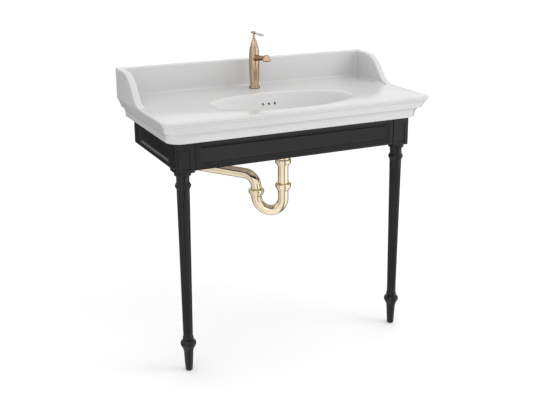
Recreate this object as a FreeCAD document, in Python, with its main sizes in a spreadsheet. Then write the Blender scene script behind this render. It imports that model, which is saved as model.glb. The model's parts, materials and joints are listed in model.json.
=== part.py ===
import FreeCAD, Part
import math
import os
import Sketcher
from FreeCAD import Placement, Rotation, Vector

# Console basin on two turned legs, with its tap, waste and trap.
# X is the width, +Y points at the wall and +Z is up. The origin lies on the wall face,
# midway between the two wall bolt holes of the ceramic. All sizes are millimetres.

SIZES = [
    # heights above the floor
    ("rim_height", 900, "top of the rim"),
    ("bolt_height", 850, "wall bolts, where the origin is"),
    # ceramic top
    ("basin_width", 1000, "overall width"),
    ("basin_depth", 512, "wall to front edge"),
    ("rim_corner", 26, "plan radius of the front corners at the rim"),
    ("lip_corner", 50, "plan radius of the front corners at the lower edge"),
    ("nose_radius", 5, "rounding of the rim's top edge"),
    ("nose_drop", 10, "rim to the quirk under the nose"),
    ("bead_inset", 3, "second bead, in from the nose"),
    ("bead_drop", 17, "rim to the foot of the second bead"),
    ("slope_inset", 14, "foot of the sloping band, in from the nose"),
    ("slope_drop", 42, "rim to the foot of the sloping band"),
    ("cove_inset", 28, "foot of the cove, in from the nose"),
    ("cove_drop", 70, "rim to the foot of the cove"),
    ("fascia_drop", 78, "rim to the lower edge"),
    ("splash_rise", 100, "upstand above the rim"),
    ("splash_thickness", 24, "upstand and side wings"),
    ("splash_round", 5, "rounding of the upstand's top front edge"),
    ("splash_cove", 8, "hollow between the deck and the upstand"),
    ("wing_flat", 85, "level top of each wing, from the wall"),
    ("wing_crest_radius", 120, "radius of the wing's upper curve"),
    ("wing_foot_radius", 90, "radius of the wing's lower curve"),
    ("wing_angle", 50, "steepest angle of the wing, in degrees"),
    ("deck_thickness", 16, "ceramic above the hollow underside"),
    ("seat_inset", 78, "inner edge of the seat on the frame, in from the nose"),
    ("back_wall", 40, "ceramic between the hollow and the wall"),
    ("hollow_corner", 30, "plan radius of the hollow underside"),
    ("bowl_length", 530, "oval opening, along X"),
    ("bowl_width", 276, "oval opening, along Y"),
    ("bowl_front", 184, "oval centre, from the front edge"),
    ("bowl_depth", 130, "rim to the bowl's floor"),
    ("bowl_wall", 12, "thickness of the bowl"),
    ("overflow_radius", 4.5, "overflow holes"),
    ("overflow_spacing", 23.5, "between overflow holes"),
    ("overflow_drop", 38, "rim to the overflow holes"),
    ("duct_width", 84, "overflow duct behind and under the bowl"),
    ("duct_depth", 16, "overflow duct, behind the bowl's rim"),
    ("duct_wall", 6, "ceramic round the duct"),
    ("duct_floor", 14, "duct, below the bowl's underside"),
    ("channel_width", 40, "channel from the duct to the drain hole"),
    ("drain_hole", 24.5, "radius of the hole in the bowl's floor"),
    ("drain_recess", 34, "radius of the seat round the drain hole"),
    ("drain_recess_depth", 2, "depth of that seat"),
    ("tap_setback", 88, "tap axis, from the wall"),
    ("tap_hole", 17.5, "radius of the tap hole"),
    ("bowl_roll", 5, "rounding of the bowl's rim"),
    ("bolt_spacing", 280, "between the wall bolt holes"),
    ("bolt_hole", 7, "radius of the wall bolt holes"),
    # wooden frame
    ("frame_inset", 55, "frame's outer faces, in from the nose"),
    ("rail_height", 98, "rails and apron"),
    ("rail_thickness", 22, "rails and apron"),
    ("rail_reveal", 3, "rails, back from the posts' outer faces"),
    ("pad_thickness", 2, "soft pads between frame and ceramic"),
    ("pad_radius", 8, "soft pads"),
    ("post_size", 64, "square corner posts"),
    ("post_drop", 6, "posts, below the rails"),
    ("post_round", 5, "outer edge of each post"),
    ("panel_margin", 15, "plain sides of the posts' panels"),
    ("panel_foot", 11, "plain foot of the posts' panels"),
    ("panel_top", 24, "plain top of the posts' panels"),
    ("field_stile", 17, "plain end of each rail, beside its field"),
    ("back_stile", 50, "plain end of the side rails at the wall"),
    ("field_top", 16, "rail top to its field"),
    ("field_bottom", 9, "rail foot to its field"),
    ("joint_gap", 0.05, "between glued wooden faces"),
    ("dowel_radius", 4, "dowels between rails and posts"),
    ("dowel_length", 40, "dowels between rails and posts"),
    ("dowel_spacing", 50, "between the two dowels of a joint"),
    ("dowel_in_side", 12, "dowels of the rear rail, in the side rails"),
    ("fit_gap", 0.05, "radial clearance of dowels and bolts"),
    ("cleat_screw_spacing", 600, "screw holes of the rear rail"),
    ("cleat_screw_hole", 3.5, "radius of the rear rail's screw holes"),
    # turned legs
    ("glide_radius", 10, "floor glide"),
    ("glide_thickness", 3, "floor glide, below the leg"),
    ("glide_pin_radius", 2.5, "pin of the glide"),
    ("glide_pin_length", 18, "pin of the glide"),
    ("ankle_radius", 12.5, "leg at the glide"),
    ("toe_round", 2, "rounding of the leg's lower edge"),
    ("calf_radius", 17, "cone under the bulb"),
    ("calf_top", 82, "floor to the bulb's lower lip"),
    ("lip_radius", 24, "bulb's lower lip"),
    ("lip_top", 91, "floor to the bulb"),
    ("bulb_radius", 27, "bulb, at its widest"),
    ("bulb_top", 116, "floor to the bulb's upper end"),
    ("ring_radius", 18.5, "small ring over the bulb"),
    ("ring_top", 128, "floor to the top of the small ring"),
    ("shaft_base_radius", 16.5, "fluted shaft, lower end"),
    ("shaft_base", 134, "floor to the shaft"),
    ("shaft_top_radius", 21.5, "fluted shaft, upper end"),
    ("shaft_top", 634, "floor to the shaft's upper end"),
    ("torus_radius", 27, "round ring near the top"),
    ("torus_half", 7, "half the height of that ring"),
    ("torus_level", 669, "floor to the middle of that ring"),
    ("neck_radius", 22, "leg above the ring"),
    ("neck_top", 698, "floor to the collar's cove"),
    ("collar_radius", 28, "collar under the post"),
    ("collar_height", 12, "collar under the post"),
    ("flute_count", 12, "flutes round each leg"),
    ("flute_radius", 4.2, "radius of a flute at the upper end"),
    ("flute_taper", 0.76, "lower end of a flute, of its upper end"),
    ("flute_bite", 0.55, "part of a flute's radius that is cut in"),
    ("flute_margin", 8, "plain shaft beyond each end of the flutes"),
    ("leg_bolt_radius", 5, "threaded bolt between leg and post"),
    ("leg_bolt_in_leg", 50, "that bolt's length in the leg"),
    ("leg_bolt_in_post", 40, "that bolt's length in the post"),
    ("insert_radius", 8, "threaded insert in the post"),
    ("insert_length", 20, "threaded insert in the post"),
    # tap, levels above the deck
    ("flange_radius", 21.5, "tap's foot"),
    ("flange_height", 9, "tap's foot"),
    ("waist_radius", 15.5, "tap body above its foot"),
    ("waist_level", 16, "tap body above its foot"),
    ("belly_radius", 19, "tap body at the spout"),
    ("belly_level", 92, "tap body at the spout"),
    ("shoulder_radius", 15.5, "top of the tap body"),
    ("shoulder_level", 154, "top of the tap body"),
    ("waist_curve", 830, "radius of the body's lower curve"),
    ("shoulder_curve", 550, "radius of the body's upper curve"),
    ("spout_reach", 108, "tap axis to the outlet"),
    ("spout_root_level", 114, "arm at the tap body"),
    ("spout_rise", 11, "arm's rise to the outlet"),
    ("spout_root_radius", 10, "arm at the tap body"),
    ("bell_radius", 16, "rim of the bell shaped outlet"),
    ("bell_crown_radius", 8.6, "top of the outlet"),
    ("bell_crown", 137, "top of the outlet"),
    ("bell_rim", 115, "foot of the outlet"),
    ("bell_curve", 34, "radius of the outlet's flare"),
    ("water_radius", 4.5, "waterway in the arm"),
    ("aerator_radius", 10.5, "aerator"),
    ("aerator_height", 8, "aerator"),
    ("aerator_drop", 1.5, "aerator, below the outlet's rim"),
    ("chamber_radius", 12.6, "bore for the cartridge"),
    ("chamber_floor", 127.5, "foot of the cartridge"),
    ("inlet_radius", 4.2, "threaded inlets under the tap"),
    ("inlet_depth", 14, "threaded inlets under the tap"),
    ("inlet_spacing", 12.4, "between the inlets"),
    ("spigot_radius", 13.4, "shank, inside the tap body"),
    ("spigot_top", 24, "shank's upper end"),
    ("cartridge_gap", 0.3, "between the cartridge and its bore"),
    ("bonnet_radius", 14, "foot of the bonnet"),
    ("bonnet_top_radius", 6.2, "top of the bonnet"),
    ("bonnet_top", 184.5, "top of the bonnet"),
    ("bonnet_curve", 60, "radius of the bonnet's side"),
    ("stem_radius", 4.6, "turning stem"),
    ("stem_gap", 0.3, "between the stem and what it turns in"),
    ("stem_root", 142, "lower end of the stem"),
    ("stem_shoulder", 197.6, "stem, below the ball of the lever"),
    ("pivot_level", 205, "pivot of the lever"),
    ("hub_radius", 6.2, "ball of the lever"),
    ("tongue_thickness", 3, "stem's tongue in the hub"),
    ("tongue_width", 4.6, "stem's tongue in the hub"),
    ("tongue_rise", 2.6, "tongue above its pivot"),
    ("slot_gap", 0.35, "between the tongue and its slot"),
    ("pin_radius", 1.2, "pivot pin"),
    ("pin_gap", 0.04, "running clearance of the pivot pin"),
    ("lever_length", 79, "tap axis to the end of the lever"),
    ("ferrule_radius", 4.6, "metal socket of the lever"),
    ("ferrule_end", 18, "tap axis to the socket's end"),
    ("lever_root_radius", 3.5, "ceramic lever at its socket"),
    ("lever_peg_radius", 2.1, "peg on the lever's root, inside the ferrule"),
    ("hub_neck_radius", 2.8, "neck between the hub and its ferrule"),
    ("lever_end_radius", 5.6, "ceramic lever at its end"),
    ("tail_radius", 2.4, "rod behind the hub"),
    ("tail_reach", 19, "tap axis to the ball behind it"),
    ("tail_ball", 3.9, "radius of that ball"),
    # tap fixing under the deck
    ("shank_radius", 16, "threaded shank of the tap"),
    ("shank_length", 52, "shank, below the deck's top"),
    ("shank_bore", 11, "hole through the shank"),
    ("foot_seal_thickness", 1.5, "soft ring under the tap's foot"),
    ("clamp_radius", 27, "washers under the deck"),
    ("rubber_thickness", 3, "soft washer under the deck"),
    ("washer_thickness", 2, "metal washer under the deck"),
    ("back_nut_flat", 42, "across flats of the tap's nut"),
    ("back_nut_height", 9, "tap's nut"),
    # waste and trap
    ("strainer_radius", 31.5, "flange of the waste"),
    ("strainer_thickness", 2.5, "flange of the waste"),
    ("waste_radius", 23.5, "threaded tail of the waste"),
    ("waste_bore", 19.6, "bore of the waste"),
    ("slot_width", 14, "overflow slots in the waste"),
    ("slot_height", 8, "overflow slots in the waste"),
    ("plug_radius", 28, "cap of the plug"),
    ("plug_thickness", 4, "cap of the plug"),
    ("plug_gap", 0.4, "closed cap above the flange"),
    ("guide_radius", 4, "stem of the plug"),
    ("guide_length", 34, "stem of the plug"),
    ("guide_gap", 0.06, "running clearance of the plug's stem"),
    ("spider_height", 14, "cross inside the waste"),
    ("spider_drop", 16, "cross, below the flange's top"),
    ("spider_arm", 3, "thickness of the cross's arms"),
    ("sleeve_wall", 2.5, "socket in the cross"),
    ("waste_washer", 3.5, "soft washer under the bowl"),
    ("waste_washer_radius", 33, "soft washer under the bowl"),
    ("waste_nut_height", 13, "nut under the bowl"),
    ("waste_nut_flat", 62, "across flats of that nut"),
    ("tube_radius", 19, "trap tubes"),
    ("tube_wall", 1.6, "trap tubes"),
    ("socket_radius", 23.5, "threaded sockets of the trap"),
    ("socket_depth", 14, "sockets of the trap"),
    ("tube_insert", 11, "tubes, inside the sockets"),
    ("nut_radius", 28.5, "round trap nuts"),
    ("nut_height", 18, "round trap nuts"),
    ("nut_round", 4, "rounding of a trap nut's edges"),
    ("nut_collar_radius", 21.5, "collar under the upper nut"),
    ("nut_collar", 7, "height of that collar"),
    ("nut_lip", 5, "inward lip of a trap nut"),
    ("seal_height", 4, "soft ring in a trap nut"),
    ("thread_gap", 0.1, "between a nut and its thread"),
    ("upper_nut_level", 676, "floor to the middle of the upper nut"),
    ("lower_nut_level", 586, "floor to the middle of the lower nut"),
    ("outlet_nut_level", 558, "floor to the middle of the outlet's nut"),
    ("bend_radius", 50, "centre line of the trap's bend"),
    ("bend_level", 538, "floor to the centre of the bend"),
    ("bend_angle", 40, "bend, turned back from the left, in degrees"),
    ("arm_angle", 33.6, "arm, turned from straight back, in degrees"),
    ("arm_level", 617, "floor to the arm's centre line"),
    ("elbow_radius", 46.5, "centre line of the arm's first bend"),
    ("sweep_radius", 60, "centre line of the arm's second bend"),
    ("arm_straight", 34.78125451, "arm, square to the wall, in front of it"),
    ("wall_stub", 35, "arm, beyond the wall's face"),
    ("stub_radius", 18.6, "arm beyond the wall's face, drawn down for its seal"),
    ("rose_radius", 36, "cover ring at the wall"),
    ("rose_depth", 14, "cover ring at the wall"),
    ("rose_wall", 1.6, "cover ring at the wall"),
]


class Size:
    """A size from the sheet, or a sum of sizes, with the formula that gives it."""

    def __init__(self, value, text):
        self.value = value
        self.text = text

    def __add__(self, other):
        return Size(self.value + number(other), f"({self.text} + {formula(other)})")

    def __radd__(self, other):
        return Size(number(other) + self.value, f"({formula(other)} + {self.text})")

    def __sub__(self, other):
        return Size(self.value - number(other), f"({self.text} - {formula(other)})")

    def __rsub__(self, other):
        return Size(number(other) - self.value, f"({formula(other)} - {self.text})")

    def __mul__(self, other):
        return Size(self.value * number(other), f"({self.text} * {formula(other)})")

    def __rmul__(self, other):
        return self * other

    def __truediv__(self, other):
        return Size(self.value / number(other), f"({self.text} / {formula(other)})")

    def __neg__(self):
        return Size(-self.value, f"(0 - {self.text})")


def number(size):
    return size.value if isinstance(size, Size) else float(size)


def formula(size):
    return size.text if isinstance(size, Size) else repr(float(size))


def write_sheet():
    """Put every size in the sheet, one named cell each."""
    sheet = doc.addObject("Spreadsheet::Sheet", "Sizes")
    for row, (name, value, note) in enumerate(SIZES, start=1):
        sheet.set(f"A{row}", name)
        sheet.set(f"B{row}", str(value))
        sheet.set(f"C{row}", note)
        sheet.setAlias(f"B{row}", name)
    return sheet


doc = FreeCAD.newDocument("console_basin")
sheet = write_sheet()
doc.recompute()


class Sizes:
    """The sheet's sizes by name, such as S.rim_height."""

    def __getattr__(self, name):
        return Size(float(sheet.get(name)), f"Sizes.{name}")


S = Sizes()
bowl_centre = S.basin_depth - S.bowl_front
nodes = []


# --- drawing ----------------------------------------------------------------------------


def new_body(label):
    body = doc.addObject("PartDesign::Body", label)
    body.Label = label
    nodes.append(body)
    return body


def place(piece, x=0, y=0, floor_to=None, rotation=Rotation()):
    """Put a piece at x, y and a height above the floor."""
    z = (S.bolt_height if floor_to is None else floor_to) - S.bolt_height
    piece.Placement = Placement(Vector(number(x), number(y), number(z)), rotation)
    for axis, size in (("x", x), ("y", y), ("z", z)):
        piece.setExpression(f".Placement.Base.{axis}", formula(size))


def draw_on(body, name, plane, across=0, up=0, lift=0):
    """Start a sketch on one of the body's planes, moved in the plane and off it."""
    sketch = body.newObject("Sketcher::SketchObject", name)
    support = [f for f in body.Origin.OriginFeatures if f.Role == plane][0]
    sketch.AttachmentSupport = (support, [""])
    sketch.MapMode = "FlatFace"
    offset = Vector(number(across), number(up), number(lift))
    sketch.AttachmentOffset = Placement(offset, Rotation())
    for axis, size in (("x", across), ("y", up), ("z", lift)):
        sketch.setExpression(f".AttachmentOffset.Base.{axis}", formula(size))
    return sketch


def fix(sketch, kind, references, size):
    """Hold a distance or a radius of the sketch to a size."""
    row = sketch.addConstraint(Sketcher.Constraint(kind, *references, number(size)))
    if isinstance(size, Size):
        sketch.setExpression(f"Constraints[{row}]", size.text)


def fix_point(sketch, edge, end, x, y):
    fix(sketch, "DistanceX", (-1, 1, edge, end), x)
    fix(sketch, "DistanceY", (-1, 1, edge, end), y)


def spot(point):
    return Vector(number(point[0]), number(point[1]), 0)


def arc_edge(start, end, radius, side):
    """A shallow arc between two spots that bulges left (side 1) or right (side -1)."""
    chord = end - start
    half = chord.Length / 2
    sagitta = radius - math.sqrt(max(radius * radius - half * half, 0))
    left = Vector(-chord.y, chord.x, 0).normalize()
    middle = (start + end) * 0.5 + left * (sagitta * side)
    return Part.Arc(start, middle, end)


def outline(sketch, points):
    """A closed path. Each point is (x, y) at the end of a line, or (x, y, radius, side)
    at the end of an arc that bulges to the path's left (1) or right (-1)."""
    first = sketch.GeometryCount
    ends = []
    for before, point in zip(points[-1:] + points[:-1], points):
        start, end = spot(before), spot(point)
        if len(point) == 2:
            edge = sketch.addGeometry(Part.LineSegment(start, end), False)
        else:
            arc = arc_edge(start, end, number(point[2]), point[3])
            edge = sketch.addGeometry(arc, False)
        forward = sketch.getPoint(edge, 1).sub(start).Length < sketch.getPoint(edge, 2).sub(start).Length
        ends.append((1, 2) if forward else (2, 1))
    for step, point in enumerate(points):
        edge, after = first + step, first + (step + 1) % len(points)
        joint = (edge, ends[step][1], after, ends[(step + 1) % len(points)][0])
        sketch.addConstraint(Sketcher.Constraint("Coincident", *joint))
        fix_point(sketch, edge, ends[step][1], point[0], point[1])
        if len(point) == 4:
            fix(sketch, "Radius", (edge,), point[2])


def circle(sketch, x, y, radius):
    ring = Part.Circle(spot((x, y)), Vector(0, 0, 1), number(radius))
    edge = sketch.addGeometry(ring, False)
    fix_point(sketch, edge, 3, x, y)
    fix(sketch, "Radius", (edge,), radius)


def oval(sketch, y, half_length, half_width):
    """An ellipse centred on the sketch's vertical axis, longer along X."""
    shape = Part.Ellipse(spot((0, y)), number(half_length), number(half_width))
    edge = sketch.addGeometry(shape, False)
    sketch.exposeInternalGeometry(edge)
    fix_point(sketch, edge, 3, 0, y)
    fix_point(sketch, edge + 1, 1, half_length, y)
    fix(sketch, "DistanceY", (-1, 1, edge + 2, 1), y + half_width)


def rectangle(sketch, left, low, right, high):
    outline(sketch, [(left, low), (right, low), (right, high), (left, high)])


# --- features ---------------------------------------------------------------------------


def pad(body, sketch, length, reverse=False):
    feature = body.newObject("PartDesign::Pad", "pad")
    feature.Profile = (sketch, [""])
    feature.Length = number(length)
    feature.setExpression("Length", formula(length))
    feature.Reversed = reverse
    return feature


def pocket(body, sketch, length, reverse=False):
    feature = body.newObject("PartDesign::Pocket", "pocket")
    feature.Profile = (sketch, [""])
    feature.Length = number(length)
    feature.setExpression("Length", formula(length))
    feature.Reversed = reverse
    return feature


def turn(body, sketch, cut=False, angle=360, reverse=False, axis="V_Axis"):
    """Revolve a sketch about its own vertical axis, or about a line drawn in it."""
    kind = "PartDesign::Groove" if cut else "PartDesign::Revolution"
    feature = body.newObject(kind, "turn")
    feature.Profile = (sketch, [""])
    feature.ReferenceAxis = (sketch, [axis])
    feature.Angle = angle
    feature.Reversed = reverse
    return feature


def loft(body, sketches, cut=False, ruled=True):
    kind = "PartDesign::SubtractiveLoft" if cut else "PartDesign::AdditiveLoft"
    feature = body.newObject(kind, "loft")
    feature.Profile = (sketches[0], [""])
    feature.Sections = [(sketch, [""]) for sketch in sketches[1:]]
    feature.Ruled = ruled
    return feature


def round_edges(body, radius, wanted):
    """Fillet the edges of the body's last feature that the test picks."""
    doc.recompute()
    base = body.Tip
    names = [f"Edge{i}" for i, edge in enumerate(base.Shape.Edges, start=1) if wanted(edge)]
    feature = body.newObject("PartDesign::Fillet", "fillet")
    feature.Base = (base, names)
    feature.Radius = number(radius)
    feature.setExpression("Radius", formula(radius))
    return feature


def turned(label, profile):
    """A piece turned about its own vertical axis, from radius and height pairs."""
    body = new_body(label)
    sketch = draw_on(body, "profile", "XZ_Plane")
    outline(sketch, profile)
    turn(body, sketch)
    return body


def ring_piece(label, inner, outer, height):
    """A plain ring that stands on its own base."""
    body = new_body(label)
    sketch = draw_on(body, "ring", "XY_Plane")
    circle(sketch, 0, 0, outer)
    circle(sketch, 0, 0, inner)
    pad(body, sketch, height)
    return body


def group(label, members):
    """Identical loose pieces that share one node."""
    compound = doc.addObject("Part::Compound", label)
    compound.Label = label
    compound.Links = members
    nodes.append(compound)
    return compound


def rod(label, radius, length, x, y, floor_to, rotation=Rotation()):
    """A plain round rod, from its base along its own axis."""
    piece = doc.addObject("Part::Cylinder", label)
    piece.setExpression("Radius", formula(radius))
    piece.setExpression("Height", formula(length))
    place(piece, x, y, floor_to, rotation)
    return piece


ALONG_X = Rotation(Vector(0, 1, 0), 90)
ALONG_BACK = Rotation(Vector(1, 0, 0), -90)
ALONG_FRONT = Rotation(Vector(1, 0, 0), 90)
SIDES = (("left", -1), ("right", 1))


# --- ceramic top ------------------------------------------------------------------------


def rim_section(body, inset, drop, corner):
    """The basin's plan outline at one level: square at the wall, rounded in front."""
    sketch = draw_on(body, "section", "XY_Plane", lift=-drop)
    half, front = S.basin_width / 2 - inset, S.basin_depth - inset
    outline(sketch, [
        (-half, 0),
        (-half, corner - front),
        (corner - half, -front, corner, -1),
        (half - corner, -front),
        (half, corner - front, corner, -1),
        (half, 0),
    ])
    return sketch


def rim_sections(body):
    """Levels of the front and side mouldings, from the deck down to the lower edge."""
    sections = []
    nose_steps = 4
    for step in range(nose_steps + 1):
        angle = math.radians(90) * step / nose_steps
        inset = S.nose_radius * (1 - math.sin(angle))
        drop = S.nose_radius * (1 - math.cos(angle))
        sections.append(rim_section(body, inset, drop, S.rim_corner))
    sections.append(rim_section(body, 0, S.nose_drop - S.bead_inset / 2, S.rim_corner))
    sections.append(rim_section(body, S.bead_inset, S.nose_drop, S.rim_corner))
    sections.append(rim_section(body, S.bead_inset, S.bead_drop - S.bead_inset / 2, S.rim_corner))
    sections.append(rim_section(body, S.bead_inset * 2, S.bead_drop, S.rim_corner))
    sections.append(rim_section(body, S.slope_inset, S.slope_drop, (S.rim_corner + S.lip_corner) / 2))
    cove_steps = 4
    for step in range(1, cove_steps + 1):
        angle = math.radians(90) * step / cove_steps
        inset = S.slope_inset + (S.cove_inset - S.slope_inset) * math.sin(angle)
        drop = S.slope_drop + (S.cove_drop - S.slope_drop) * (1 - math.cos(angle))
        sections.append(rim_section(body, inset, drop, S.lip_corner))
    sections.append(rim_section(body, S.cove_inset, S.fascia_drop, S.lip_corner))
    return sections


def wing_profile(sketch):
    """Side view of a wing: level, then an S down to the deck. Sketch x points at the wall."""
    angle = math.radians(number(S.wing_angle))
    across, fall = math.sin(angle), 1 - math.cos(angle)
    straight_fall = S.splash_rise - (S.wing_crest_radius + S.wing_foot_radius) * fall
    straight_run = straight_fall / math.tan(angle)
    crest_end = S.wing_flat + S.wing_crest_radius * across
    foot_start = crest_end + straight_run
    wing_end = foot_start + S.wing_foot_radius * across
    outline(sketch, [
        (0, -S.nose_radius),
        (0, S.splash_rise),
        (-S.wing_flat, S.splash_rise),
        (-crest_end, S.splash_rise - S.wing_crest_radius * fall, S.wing_crest_radius, -1),
        (-foot_start, S.wing_foot_radius * fall),
        (-wing_end, 0, S.wing_foot_radius, 1),
        (-wing_end, -S.nose_radius),
    ])


def bowl_section(body, drop, half_length, half_width):
    sketch = draw_on(body, "bowl", "XY_Plane", lift=-drop)
    oval(sketch, -bowl_centre, half_length, half_width)
    return sketch


# levels of the bowl, as parts of its depth, and how far its wall has come in there,
# as a part of the half width
# the ends of the oval come in faster than its long sides
END_SHARE = 1.35
BOWL_FORM = (
    (0.0, 0.0), (0.05, 0.035), (0.2, 0.12), (0.4, 0.235), (0.6, 0.37), (0.8, 0.52), (0.95, 0.665), (1.0, 0.74)
)


def bowl_levels(body, wall):
    """Ovals down the bowl, grown outwards and down by a wall thickness."""
    levels = []
    for depth, shrink in BOWL_FORM:
        inward = S.bowl_width / 2 * shrink
        half_length = S.bowl_length / 2 - inward * END_SHARE + wall
        half_width = S.bowl_width / 2 - inward + wall
        drop = (S.bowl_depth + wall) * depth
        levels.append(bowl_section(body, drop, half_length, half_width))
    return levels


def basin():
    body = new_body("basin")
    loft(body, rim_sections(body))
    half = S.basin_width / 2
    upstand = draw_on(body, "upstand", "XZ_Plane")
    rectangle(upstand, -half, -S.nose_radius, half, S.splash_rise)
    pad(body, upstand, S.splash_thickness)
    for side, sign in SIDES:
        wing = draw_on(body, side + "_wing", "YZ_Plane", lift=half * sign)
        wing_profile(wing)
        pad(body, wing, S.splash_thickness, reverse=sign > 0)
    round_edges(body, S.splash_cove, is_deck_corner)
    round_edges(body, S.splash_round, is_upstand_edge)
    hollow = draw_on(body, "hollow", "XY_Plane", lift=-S.fascia_drop)
    inner, front, corner = half - S.seat_inset, S.basin_depth - S.seat_inset, S.hollow_corner
    outline(hollow, [
        (-inner, -S.back_wall),
        (-inner, corner - front),
        (corner - inner, -front, corner, -1),
        (inner - corner, -front),
        (inner, corner - front, corner, -1),
        (inner, -S.back_wall),
    ])
    pocket(body, hollow, S.fascia_drop - S.deck_thickness, reverse=True)
    loft(body, bowl_levels(body, S.bowl_wall)[1:], ruled=False)
    duct_foot = S.bowl_depth + S.bowl_wall + S.duct_floor
    duct_half = S.duct_width / 2
    duct_back = bowl_centre - S.bowl_width / 2 - S.duct_depth
    duct = draw_on(body, "duct", "XY_Plane", lift=-duct_foot)
    outline(duct, [
        (duct_half, -duct_back),
        (-duct_half, -duct_back),
        (-duct_half, -bowl_centre),
        (0, -bowl_centre - duct_half, duct_half, -1),
        (duct_half, -bowl_centre, duct_half, -1),
    ])
    pad(body, duct, duct_foot - S.deck_thickness / 2)
    loft(body, bowl_levels(body, 0), cut=True, ruled=False)
    round_edges(body, S.bowl_roll, is_bowl_rim)
    passage_foot = duct_foot - S.duct_wall
    passage = draw_on(body, "passage", "XY_Plane", lift=-passage_foot)
    passage_half = duct_half - S.duct_wall
    passage_back = duct_back + S.duct_wall
    passage_front = passage_back + S.duct_wall * 2
    rectangle(passage, -passage_half, -passage_front, passage_half, -passage_back)
    pocket(body, passage, passage_foot - S.overflow_drop + S.overflow_radius * 2, reverse=True)
    channel = draw_on(body, "channel", "XY_Plane", lift=-passage_foot)
    rectangle(channel, -S.channel_width / 2, -bowl_centre, S.channel_width / 2, -passage_back)
    pocket(body, channel, S.duct_floor - S.duct_wall, reverse=True)
    holes = draw_on(body, "overflow_holes", "XZ_Plane", lift=passage_back + S.duct_wall)
    for place_along in (-1, 0, 1):
        circle(holes, S.overflow_spacing * place_along, -S.overflow_drop, S.overflow_radius)
    pocket(body, holes, S.duct_depth * 3, reverse=True)
    drain = draw_on(body, "drain", "XY_Plane")
    circle(drain, 0, -bowl_centre, S.drain_hole)
    pocket(body, drain, duct_foot)
    recess = draw_on(body, "recess", "XY_Plane", lift=S.drain_recess_depth - S.bowl_depth)
    circle(recess, 0, -bowl_centre, S.drain_recess)
    pocket(body, recess, S.drain_recess_depth * 2)
    tap = draw_on(body, "tap", "XY_Plane")
    circle(tap, 0, -S.tap_setback, S.tap_hole)
    pocket(body, tap, S.deck_thickness)
    bolts = draw_on(body, "wall_bolts", "XZ_Plane", lift=S.back_wall)
    for _side, sign in SIDES:
        circle(bolts, S.bolt_spacing / 2 * sign, S.bolt_height - S.rim_height, S.bolt_hole)
    pocket(body, bolts, S.back_wall)
    place(body, floor_to=S.rim_height)


def is_straight(edge, along):
    first, last = edge.Vertexes[0].Point, edge.Vertexes[-1].Point
    return edge.Curve.TypeId == "Part::GeomLine" and abs((last - first).normalize().dot(along)) > 0.999


def is_deck_corner(edge):
    """Where the upstand stands on the deck."""
    middle = edge.BoundBox.Center
    on_deck = abs(middle.z) < 0.1 and abs(middle.y + number(S.splash_thickness)) < 0.1
    return on_deck and is_straight(edge, Vector(1, 0, 0))


def is_upstand_edge(edge):
    """The front top edge of the upstand."""
    middle = edge.BoundBox.Center
    return abs(middle.z - number(S.splash_rise)) < 0.1 and abs(middle.y + number(S.splash_thickness)) < 0.1


def is_bowl_rim(edge):
    box = edge.BoundBox
    length = number(S.bowl_length)
    return abs(box.ZMax) < 0.1 and box.ZLength < 0.1 and abs(box.XLength - length) < 2


# places of the soft pads, as shares of a rail's length
FRONT_PADS, SIDE_PADS, BACK_PADS = (0.3, 0.85), (0.25, 0.6), (0.3,)


def basin_pads():
    reach = S.basin_width / 2 - S.frame_inset - S.rail_thickness / 2
    front = S.basin_depth - S.frame_inset - S.rail_thickness / 2
    back = S.rail_thickness / 2
    spots = [(reach * across * sign, front) for across in FRONT_PADS for _side, sign in SIDES]
    spots += [(reach * sign, front * part) for part in SIDE_PADS for _side, sign in SIDES]
    spots += [(reach * across * sign, back) for across in BACK_PADS for _side, sign in SIDES]
    pads = []
    for row, (x, y) in enumerate(spots):
        level = S.rim_height - S.fascia_drop - S.pad_thickness
        pads.append(rod(f"pad_{row}", S.pad_radius, S.pad_thickness, x, -y, level))
    group("basin_pads", pads)


# --- wooden frame -----------------------------------------------------------------------

# the moulded border of a sunk field, as steps inwards and down from the face
FIELD_MOULD = ((0, 0), (0.3, 1.6), (2.0, 1.8), (7.5, 2.6), (11.0, 4.4), (12.5, 6.6))
PANEL_MOULD = ((0, 0), (0.3, 1.2), (2.5, 2.6), (3.5, 3.6))


def sink_field(body, plane, face, inward, box, mould):
    """A sunk field with a moulded border. The box is left, low, right and high."""
    steps = []
    for margin, depth in mould:
        step = draw_on(body, "step", plane, lift=face + depth * inward)
        rectangle(step, box[0] + margin, box[1] + margin, box[2] - margin, box[3] - margin)
        steps.append(step)
    loft(body, steps, cut=True)


def end_holes(body, x, inward, depth):
    """Two dowel holes in the end of a rail that lies along X."""
    sketch = draw_on(body, "end_holes", "YZ_Plane", lift=x)
    for _side, sign in SIDES:
        level = S.rail_height / 2 + S.dowel_spacing / 2 * sign
        circle(sketch, S.rail_thickness / 2, level, S.dowel_radius + S.fit_gap)
    pocket(body, sketch, depth, reverse=inward > 0)


def rail(label, length, left_stile, right_stile, sunk=True):
    """A rail along X with its show face at y = 0, its middle at x = 0."""
    body = new_body(label)
    half = length / 2 - S.joint_gap
    board = draw_on(body, "board", "XZ_Plane")
    rectangle(board, -half, 0, half, S.rail_height)
    pad(body, board, S.rail_thickness, reverse=True)
    if sunk:
        box = (left_stile - half, S.field_bottom, half - right_stile, S.rail_height - S.field_top)
        sink_field(body, "XZ_Plane", 0, -1, box, FIELD_MOULD)
    return body


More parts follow.
